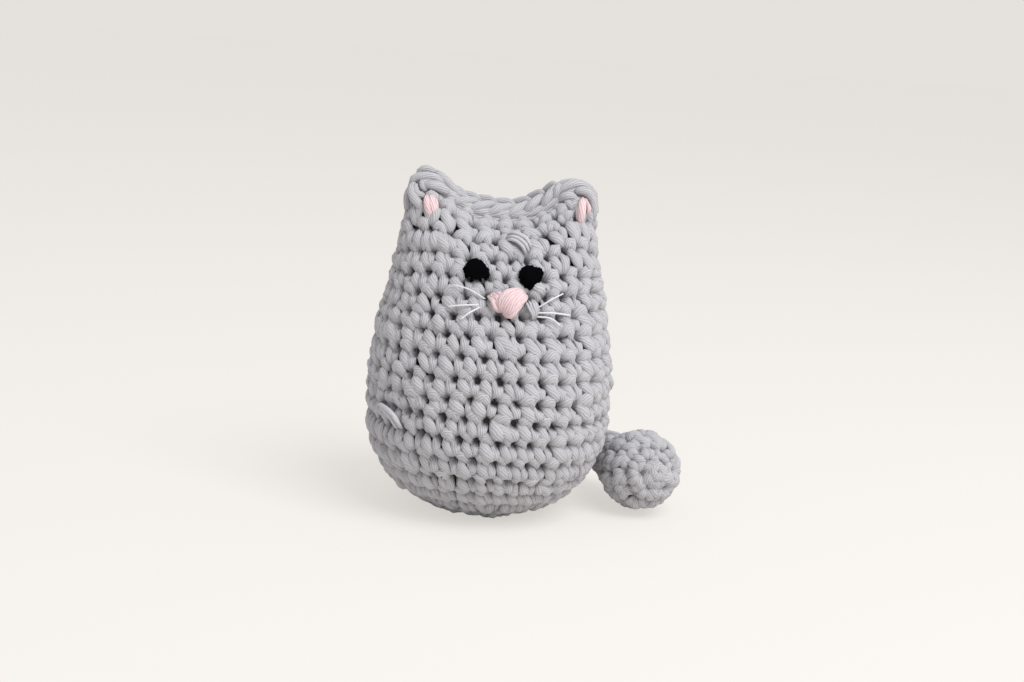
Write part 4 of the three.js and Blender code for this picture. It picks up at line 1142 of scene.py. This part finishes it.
INNER_EARS = {
    "left_inner_ear": [
        [(-15.7, -4.4, 65.6, 0.40), (-15.8, -6.2, 64.8, 0.68), (-15.6, -6.8, 63.8, 0.75),
         (-15.1, -6.9, 62.5, 0.68), (-14.6, -6.5, 61.5, 0.44)],
        [(-14.8, -4.4, 65.9, 0.40), (-14.8, -6.3, 64.9, 0.73), (-14.6, -6.9, 63.7, 0.77),
         (-14.4, -6.9, 62.4, 0.66), (-14.4, -6.5, 61.5, 0.44)],
        [(-14.1, -4.3, 65.4, 0.35), (-14, -6.1, 64.3, 0.61), (-13.9, -6.6, 63.1, 0.61),
         (-13.9, -6.4, 61.9, 0.44)],
    ],
    "right_inner_ear": [
        [(16, -4.2, 66.8, 0.40), (15.7, -6.1, 65.8, 0.83), (15.7, -6.6, 64.5, 0.85),
         (15.6, -6.7, 63.2, 0.83), (15.5, -6.3, 62.1, 0.44)],
        [(16.5, -4.0, 66.7, 0.35), (16.9, -4.7, 65.9, 0.45), (17.2, -5.9, 64.9, 0.46),
         (17.1, -5.9, 63.9, 0.39)],
        [(15.3, -4.2, 66, 0.35), (15.1, -5.9, 64.8, 0.55), (15.1, -6.2, 63.5, 0.55),
         (15.2, -6.0, 62.5, 0.39)],
    ],
}
for name, paths in INNER_EARS.items():
    sewn(name + "_stitches", strands(paths), "body", "pink_yarn", name, sides=10)

# %% [markdown]
# ## Whiskers
#
# Each whisker is a short end of stiff white thread, sewn in beside the nose. Three points are
# enough for its slight bend: the end that goes under the stitches, the middle and the free tip. It
# could be a particle hair, but the export needs a mesh, and six threads are few.

# %% Whiskers
WHISKERS = {
    "left_whisker_upper": [(-10.1, 49.5), (-7.0, 48.9), (-3.8, 47.7)],
    "left_whisker_middle": [(-10.8, 45.4), (-8.0, 45.9), (-4.9, 46.5)],
    "left_whisker_lower": [(-8.4, 43.3), (-6.8, 44.6), (-4.8, 46.1)],
    "right_whisker_upper": [(6.8, 46.3), (9.0, 47.5), (11.8, 48.8)],
    "right_whisker_middle": [(6.6, 45.5), (9.8, 45.2), (13.3, 44.7)],
    "right_whisker_lower": [(6.6, 44.8), (9.3, 44.2), (11.2, 42.9)],
}
WHISKER_OUT = np.array([-0.6, 0.45, 0.35])  # mm, from the sewn end under the surface to the tip
for name, points in WHISKERS.items():
    out = WHISKER_OUT if name.startswith("right") else WHISKER_OUT[::-1]
    thick = 0.15 if name.endswith("upper") else 0.18
    path = np.column_stack([face(points, out), np.full(3, thick)])
    sewn(name + "_thread", strands([path], 14), "body", "white_thread", name)

# %% [markdown]
# ## Ends of yarn
#
# A crocheted piece always has ends to hide. One shows on the forehead, untwisted into a few plies.
# Some plies lie where the right whiskers are sewn in, and a small loop stands out low on the side.
# They are traced as the nose is, and thinner, because a ply is only a part of the yarn.

# %% Ends of yarn
FOREHEAD_END = [
    [(0.7, 59.8, -1.0, 0.24), (1.8, 59.4, 0.5, 0.36), (3.0, 59.0, 0.8, 0.43),
     (4.2, 58.5, 0.8, 0.43), (5.0, 57.8, 0.4, 0.38), (5.2, 57.3, -0.9, 0.24)],
    [(0.6, 59.3, -1.0, 0.24), (1.6, 58.8, 0.4, 0.35), (2.8, 58.4, 0.7, 0.40),
     (3.8, 57.8, 0.7, 0.40), (4.6, 57.1, 0.4, 0.35), (4.8, 56.7, -0.9, 0.24)],
    [(0.6, 58.8, -1.0, 0.24), (1.4, 58.3, 0.3, 0.34), (2.4, 57.9, 0.6, 0.38),
     (3.3, 57.3, 0.6, 0.38), (4.0, 56.7, 0.3, 0.34), (4.3, 56.3, -0.9, 0.24)],
]
sewn("forehead_end", traced(FOREHEAD_END), "body", "grey_yarn", "darned_end_forehead")
WHISKER_ROOT = [
    [(4.4, 47.5, -0.4, 0.18), (4.5, 46.6, 0.65, 0.25), (4.9, 45.7, 0.85, 0.27),
     (5.5, 44.9, 0.65, 0.25), (5.9, 44.3, -0.4, 0.18)],
    [(5.0, 47.6, -0.4, 0.18), (5.0, 46.8, 0.7, 0.25), (5.3, 45.9, 0.9, 0.27),
     (5.8, 45.1, 0.7, 0.25), (6.2, 44.4, -0.4, 0.18)],
    [(5.6, 47.6, -0.4, 0.18), (5.6, 46.9, 0.7, 0.25), (5.8, 46.1, 0.9, 0.27),
     (6.2, 45.3, 0.7, 0.25), (6.5, 44.6, -0.4, 0.18)],
    [(6.2, 47.4, -0.4, 0.18), (6.1, 46.8, 0.65, 0.25), (6.2, 46.2, 0.85, 0.27),
     (6.5, 45.5, 0.65, 0.25), (6.7, 44.8, -0.4, 0.18)],
]
sewn("whisker_root_plies", traced(WHISKER_ROOT), "body", "grey_yarn")
SIDE_LOOP = [
    [(-23.8, 23.2, -0.8, 0.35), (-22.2, 23.9, 0.5, 0.45), (-20.6, 23.5, 0.9, 0.50),
     (-19.4, 22.6, 1.0, 0.50), (-18.9, 21.5, 0.8, 0.45), (-19.3, 20.2, -0.8, 0.35)],
    [(-23.5, 22.6, -0.8, 0.35), (-22.1, 23.2, 0.4, 0.42), (-20.8, 22.8, 0.8, 0.46),
     (-19.9, 22.0, 0.9, 0.46), (-19.6, 21.0, 0.6, 0.42), (-20.1, 20.0, -0.8, 0.35)],
]
sewn("side_loop", traced(SIDE_LOOP), "body", "grey_yarn", "darned_end_side")

# %% [markdown]
# ## How the tail is sewn on
#
# The tail's mouth is whipped to the body: nine slanting stitches go over its rim and into the
# fabric all round. A ring would be simpler, but it would hang in the air where the body curves
# away, so each stitch looks for the place where it dives into the fabric.

# %% Whip stitches
WHIPS = 9
# Five places on a stitch: in the fabric, on it, half way, over the tail's rim and in its mouth
WHIP_OUT = np.array([3.3, 4.0, 4.4, 4.3, 3.4])  # mm from the root's middle
WHIP_YARN = [0.35, 0.45, 0.48, 0.45, 0.35]  # mm, the yarn's radius
DIVE_HEIGHT, LIE_HEIGHT = -1.6, -0.1  # mm over the fabric's outside, at the first two places
DIVE_STEP, LIE_STEP = -2.0, -1.3  # mm along the root from the pivot, at most
RIM_STEP, MOUTH_STEP = -0.7, -0.2
WHIP_SLANT = 0.5
angle = 2 * np.pi * np.arange(WHIPS) / WHIPS
across_root = unit(np.cross(root_way, [0, 0, 1]))
rise_root = np.cross(across_root, root_way)
ray = np.cos(angle)[:, None] * across_root + np.sin(angle)[:, None] * rise_root
lean = np.cos(angle)[:, None] * rise_root - np.sin(angle)[:, None] * across_root
near_root = np.linalg.norm(body.places - pivot, axis=-1) < 12  # mm, so that the search is short
fabric, facing_out = body.places[near_root], body.normals[near_root]


def reach(out, height):
    """How far along the root a stitch, so far out from its middle, is at a height over the fabric.

    Height is (spot - nearest place) . normal, tried at 41 steps behind the pivot."""
    steps = np.linspace(-8, 0, 41)
    spots = pivot + out * ray[:, None] + steps[:, None] * root_way
    gap = np.linalg.norm(spots[:, :, None] - fabric, axis=-1)
    nearest = gap.argmin(-1)
    above = ((spots - fabric[nearest]) * facing_out[nearest]).sum(-1)
    return steps[np.abs(above - height).argmin(1)]


dive = np.minimum(reach(WHIP_OUT[0], DIVE_HEIGHT), DIVE_STEP)
lie = np.minimum(reach(WHIP_OUT[1], LIE_HEIGHT), LIE_STEP)
zero = np.zeros(WHIPS)
steps = np.stack([dive, lie, (lie + RIM_STEP) / 2, zero + RIM_STEP, zero + MOUTH_STEP], 1)
path = pivot + steps[..., None] * (root_way + WHIP_SLANT * lean[:, None])
path = path + WHIP_OUT[:, None] * ray[:, None]
thick = np.broadcast_to(WHIP_YARN, steps.shape)
centre, radius = strands(np.concatenate([path, thick[..., None]], -1), 10)
print("whip stitches start", (-dive).round(1), "mm behind the pivot")
whip_stitches = tubes("tail_whip_stitches", centre, radius, 8)
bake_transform(whip_stitches)
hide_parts("tail_stitch_ring")

# %% [markdown]
# ## The knot
#
# Inside the tail's mouth the sewing yarn is knotted, and the tail turns about that place. It is
# hardly seen, so a short helix of yarn is enough.

# %% The knot
KNOT_TURNS, KNOT_RADIUS, KNOT_YARN = 1.6, 0.55, 0.33
turns = np.linspace(0, 2 * np.pi * KNOT_TURNS, 9)
wound = pivot + KNOT_RADIUS * np.stack([np.cos(turns), np.sin(turns), 0.25 * turns - 1.2], -1)
wound = np.column_stack([wound, np.full(len(turns), KNOT_YARN)])
sewn("tail_knot", strands([wound], 24), "knot", "grey_yarn", "tail_sewing_knot")

# %% [markdown]
# ## Camera
#
# The picture was taken from a little to the cat's right and above, from about 38 cm away, with the
# cat leaning a few degrees clockwise. The cat stands upright in its own frame, so the camera is
# rolled instead.

# %% Camera
AZIMUTH, ELEVATION, ROLL = -6.0, 11.5, 4.05  # degrees
DISTANCE = 380.0  # mm
FOCAL, PHOTO_WIDTH = 1826.0, 1024  # in the photograph's pixels
LOOKED_AT = np.array([0, 0, 36])  # mm


def standing(spot, right, up, back):
    """The matrix of an object at a spot in metres, with its own axes along right, up and back."""
    rows = np.column_stack([right, up, back, spot])
    return Matrix([*rows.tolist(), (0, 0, 0, 1)])


a, e, roll = math.radians(AZIMUTH), math.radians(ELEVATION), math.radians(ROLL)
back = np.array([math.sin(a) * math.cos(e), -math.cos(a) * math.cos(e), math.sin(e)])
right = unit(np.cross(-back, [0, 0, 1]))
up = np.cross(right, -back)
rolled_right = right * math.cos(roll) + up * math.sin(roll)
rolled_up = up * math.cos(roll) - right * math.sin(roll)
camera_data = bpy.data.cameras.new("camera")
camera = linked("camera", camera_data)
camera.matrix_world = standing((LOOKED_AT + DISTANCE * back) * MM, rolled_right, rolled_up, back)
camera_data.sensor_width = 36
camera_data.lens = FOCAL / PHOTO_WIDTH * camera_data.sensor_width
camera_data.shift_x, camera_data.shift_y = 0.0193, -0.0024  # the cat isn't quite in the middle
bpy.context.scene.camera = camera
print("lens", round(camera_data.lens, 1), "mm")

# %% [markdown]
# ## The plies of the yarn
#
# The yarn is many fine plies, laid side by side with a slight twist. Their grooves are far too fine
# to model, so a node group draws them from the yarn's own UV map: it counts plies round the yarn,
# adds a twist along it and a little noise, and turns the distance from a ply's middle into a
# height and a painted shade in the grooves. Deep in the fabric less light arrives, so the depth
# attribute darkens the colour there as painted shade too. It is a group because yarn, floss and
# single plies all use it, each with its own values.


# %% Nodes for the plies
def fill(tree, made, **entries):
    """A node with its inputs, by name, set to values or linked from sockets."""
    for name, value in entries.items():
        entry = made.inputs[name.replace("_", " ")]
        if isinstance(value, bpy.types.NodeSocket):
            tree.links.new(value, entry)
        else:
            entry.default_value = value
    return made


def node(tree, kind, **entries):
    """A new shader node of a kind, filled in the same way."""
    return fill(tree, tree.nodes.new("ShaderNode" + kind), **entries)


def socket(group, name, kind, into, value=None):
    """A socket on the outside of a group, with the value that it has when nothing is linked."""
    made = group.interface.new_socket(name, in_out="INPUT" if into else "OUTPUT", socket_type=kind)
    if value is not None:
        made.default_value = value


def chain(tree, operation, *values):
    """A maths node with its inputs set to numbers or linked from sockets, and its output."""
    made = node(tree, "Math")
    made.operation = operation
    for value, entry in zip(values, made.inputs):
        if isinstance(value, bpy.types.NodeSocket):
            tree.links.new(value, entry)
        else:
            entry.default_value = value
    return made.outputs[0]


def noise(tree, where, scale, detail=2.0):
    """Noise about 0, from -0.5 to 0.5, with so many bumps a metre."""
    bumps = node(tree, "TexNoise", Vector=where, Scale=scale, Detail=detail)
    return chain(tree, "SUBTRACT", bumps.outputs["Fac"], 0.5)


plies = bpy.data.node_groups.new("Plies", "ShaderNodeTree")
PLY_VALUES = {
    "Plies round": 12.0,
    "Twist": 6.0,  # plies passed in a centimetre
    "Groove shade": 0.25,
    "Depth shade": 0.45,
    "Waviness": 1.1,
    "Mottle": 0.18,
}
socket(plies, "Colour", "NodeSocketColor", True, (0.5, 0.5, 0.5, 1))
for name, value in PLY_VALUES.items():
    socket(plies, name, "NodeSocketFloat", True, value)
socket(plies, "Colour", "NodeSocketColor", False)
socket(plies, "Height", "NodeSocketFloat", False)
print("the group's inputs:", ", ".join(PLY_VALUES))

# %% [markdown]
# ## Wiring the group
#
# In words: plies passed = turn times plies round + length times twist + noise. Its fraction says
# where on a ply a point is, and the ridge is 1 - |2 (fraction - 1/2)|^2.5, a round top with a
# narrow groove. The colour's factor is (1 - groove) times e^-(depth shade times depth), both
# painted shade, times a mottle of random tone.

# %% The group of plies
SHADE_BEGINS = 1.1  # mm deep, from where the yarn gets darker
GROOVE_SHARPNESS = 2.5
BENDS, FIBRES, MOTTLES = 700, 2600, 260  # bumps of noise in a metre
given = plies.nodes.new("NodeGroupInput").outputs
result = plies.nodes.new("NodeGroupOutput").inputs
uv = node(plies, "UVMap")
uv.uv_map = "Yarn"
along_and_round = node(plies, "SeparateXYZ", Vector=uv.outputs["UV"]).outputs
along, turn = along_and_round["X"], along_and_round["Y"]
coordinates = node(plies, "TexCoord").outputs["Object"]
depth = node(plies, "Attribute")
depth.attribute_name = "Depth"


def ply(operation, *values):
    """A maths node in the group of plies."""
    return chain(plies, operation, *values)


counted = ply("MULTIPLY", turn, given["Plies round"])
twisted = ply("ADD", counted, ply("MULTIPLY", along, given["Twist"]))
bent = ply("MULTIPLY_ADD", noise(plies, coordinates, BENDS), given["Waviness"], twisted)
from_middle = ply("ABSOLUTE", ply("SUBTRACT", ply("FRACT", bent), 0.5))
ridge = ply("SUBTRACT", 1.0, ply("POWER", ply("MULTIPLY", from_middle, 2.0), GROOVE_SHARPNESS))
rough = ply("MULTIPLY_ADD", noise(plies, coordinates, FIBRES, 1), 0.5, ridge)
plies.links.new(rough, result["Height"])

# painted shade: the colour is darker in the ply grooves and deeper in the fabric
groove = ply("MULTIPLY", ply("SUBTRACT", 1.0, ridge), given["Groove shade"])
below = ply("MAXIMUM", ply("SUBTRACT", depth.outputs["Fac"], SHADE_BEGINS), 0.0)
dimmed = ply("EXPONENT", ply("MULTIPLY", ply("MULTIPLY", below, given["Depth shade"]), -1.0))
lit = ply("MULTIPLY", ply("SUBTRACT", 1.0, groove), dimmed)
mottled = ply("MULTIPLY", noise(plies, coordinates, MOTTLES), given["Mottle"])
shade = ply("MULTIPLY", lit, ply("ADD", 1.0, mottled))
tinted = node(plies, "VectorMath")
tinted.operation = "SCALE"
fill(plies, tinted, Vector=given["Colour"], Scale=shade)
plies.links.new(tinted.outputs[0], result["Colour"])
print("the group of plies has", len(plies.nodes), "nodes")

# %% [markdown]
# ## Finishes
#
# Cotton is matt, with a faint sheen where its fibres catch the light, so roughness is high and the
# sheen is set on the shader. The grey and pink yarns, the black floss and the loose plies differ in
# colour and in how many plies one sees round them. The white thread is too thin for grooves.


# %% Materials
SHEEN_ROUGHNESS = 0.5


def plain(name, colour, roughness, specular=0.2):
    """A material of one colour."""
    material = bpy.data.materials.new(name)
    material.use_nodes = True
    shader = material.node_tree.nodes["Principled BSDF"]
    given = dict(Base_Color=(*colour, 1), Roughness=roughness, Specular_IOR_Level=specular)
    fill(material.node_tree, shader, **given)
    return material


def yarn(name, colour, roughness=0.85, relief=0.1, sheen=0.25, specular=0.2, **values):
    """Yarn of one colour. The plies drive its colour and, by a bump of relief mm, its normal."""
    material = plain(name, colour, roughness, specular)
    tree = material.node_tree
    shader = tree.nodes["Principled BSDF"]
    group = node(tree, "Group")
    group.node_tree = plies
    fill(tree, group, Colour=(*colour, 1), **values)
    bump = node(tree, "Bump", Distance=relief * MM, Height=group.outputs["Height"])
    fill(tree, shader, Base_Color=group.outputs["Colour"], Normal=bump.outputs["Normal"])
    fill(tree, shader, Sheen_Weight=sheen, Sheen_Roughness=SHEEN_ROUGHNESS)
    return material


BLACK = (0.0015, 0.0016, 0.002)
grey = yarn("grey_yarn", (0.49, 0.484, 0.505))
loose = yarn("loose_grey_plies", (0.5, 0.494, 0.515), relief=0.03, Plies_round=4, Groove_shade=0.1)
black = yarn("black_floss", BLACK, 0.9, sheen=0.0, specular=0.03, Plies_round=5, Twist=12)
pink = yarn("pink_yarn", (0.80, 0.60, 0.62), Plies_round=8)
white = plain("white_thread", (0.68, 0.68, 0.705), 0.7)
# painted shade: the dark grey that the stuffing and the fabric's inside show in the holes, not the
# stuffing's white
shaded = plain("stuffing_in_shade", (0.07, 0.07, 0.075), 1)
FINISHES = {
    grey: [
        "body_stitches", "tail_stitches", "seam_braid", "seam_edge", "tail_whip_stitches",
        "tail_knot",
    ],
    loose: ["forehead_end", "side_loop", "whisker_root_plies"],
    shaded: ["body_filling", "tail_filling"],
    black: ["left_eye_stitches", "right_eye_stitches"],
    pink: ["nose_stitches", "left_inner_ear_stitches", "right_inner_ear_stitches"],
    white: [name + "_thread" for name in WHISKERS],
}
for material, names in FINISHES.items():
    for name in names:
        bpy.data.objects[name].data.materials.append(material)
    print(f"{material.name}: {len(names)} pieces")

# %% [markdown]
# ## Floor and background
#
# The cat stands on a wide pale floor. A white floor under lamps would need more light than the cat
# can bear, so the floor and the world glow as the camera and reflections see them, and the cat is
# lit by the plain floor and world. The floor keeps some of its own shade, so that it takes the
# cat's shadow.

# %% Stage
FLOOR_REACH = 2.0  # metres from the cat to the floor's edge
BACKDROP = (0.815, 0.783, 0.745)
FLOOR_GLOW, FLOOR_SHADE, WORLD_GLOW = 0.74, 0.33, 0.96
corners = np.array([(-1, -1, 0), (1, -1, 0), (1, 1, 0), (-1, 1, 0)]) * FLOOR_REACH
floor_mesh = bpy.data.meshes.new("floor")
floor_mesh.from_pydata(corners.tolist(), [], [(0, 1, 2, 3)])
floor = linked("floor", floor_mesh)


def seen_as(tree, colour, strength, other):
    """A glow and a mix that takes it where a ray comes straight, mirrored or through glass.

    To other rays the mix shows the other shader. Its second input is left for the caller."""
    glow = node(tree, "Emission", Color=(*colour, 1), Strength=strength)
    path = node(tree, "LightPath").outputs
    seen = chain(tree, "MAXIMUM", path["Is Camera Ray"], path["Is Glossy Ray"])
    seen = chain(tree, "MAXIMUM", seen, path["Is Transmission Ray"])
    mix = node(tree, "MixShader", Fac=seen)
    tree.links.new(other, mix.inputs[1])
    return glow.outputs[0], mix


floor_look = plain("floor", BACKDROP, 1, specular=0.0)
tree = floor_look.node_tree
glow, mix = seen_as(tree, BACKDROP, FLOOR_GLOW, tree.nodes["Principled BSDF"].outputs[0])
own_shade = node(tree, "BsdfDiffuse", Color=(*[FLOOR_SHADE * c for c in BACKDROP], 1))
both = node(tree, "AddShader")
tree.links.new(glow, both.inputs[0])
tree.links.new(own_shade.outputs[0], both.inputs[1])
tree.links.new(both.outputs[0], mix.inputs[2])
tree.links.new(mix.outputs[0], tree.nodes["Material Output"].inputs["Surface"])
floor_mesh.materials.append(floor_look)
print("floor", 2 * FLOOR_REACH, "m wide")

# %% [markdown]
# ## Light
#
# The photograph has plain indoor light with a soft window on the right, in front and above. The
# world gives the plain part, and one large square lamp the window.

# %% World and lamp
WORLD_COLOUR, WORLD_STRENGTH = (0.86, 0.86, 0.88), 0.74
WINDOW_PLACE, WINDOW_SIZE, WINDOW_WATTS = (0.27, -0.37, 0.6), 0.5, 4.9
world = bpy.data.worlds.new("world")
bpy.context.scene.world = world
world.use_nodes = True
sky = world.node_tree
ambient = sky.nodes["Background"]
fill(sky, ambient, Color=(*WORLD_COLOUR, 1), Strength=WORLD_STRENGTH)
glow, mix = seen_as(sky, BACKDROP, WORLD_GLOW, ambient.outputs[0])
sky.links.new(glow, mix.inputs[2])
sky.links.new(mix.outputs[0], sky.nodes["World Output"].inputs["Surface"])

window_data = bpy.data.lights.new("window", "AREA")
window_data.size, window_data.energy = WINDOW_SIZE, WINDOW_WATTS
window = linked("window", window_data)
spot = np.array(WINDOW_PLACE)
back = unit(spot - [0, 0, 0.035])  # away from the cat's middle, which the lamp faces
right = unit(np.cross([0, 0, 1], back))
window.matrix_world = standing(spot, right, np.cross(back, right), back)
bpy.context.scene.view_settings.view_transform = "Standard"
print("window", round(float(np.linalg.norm(spot)), 2), "m away")
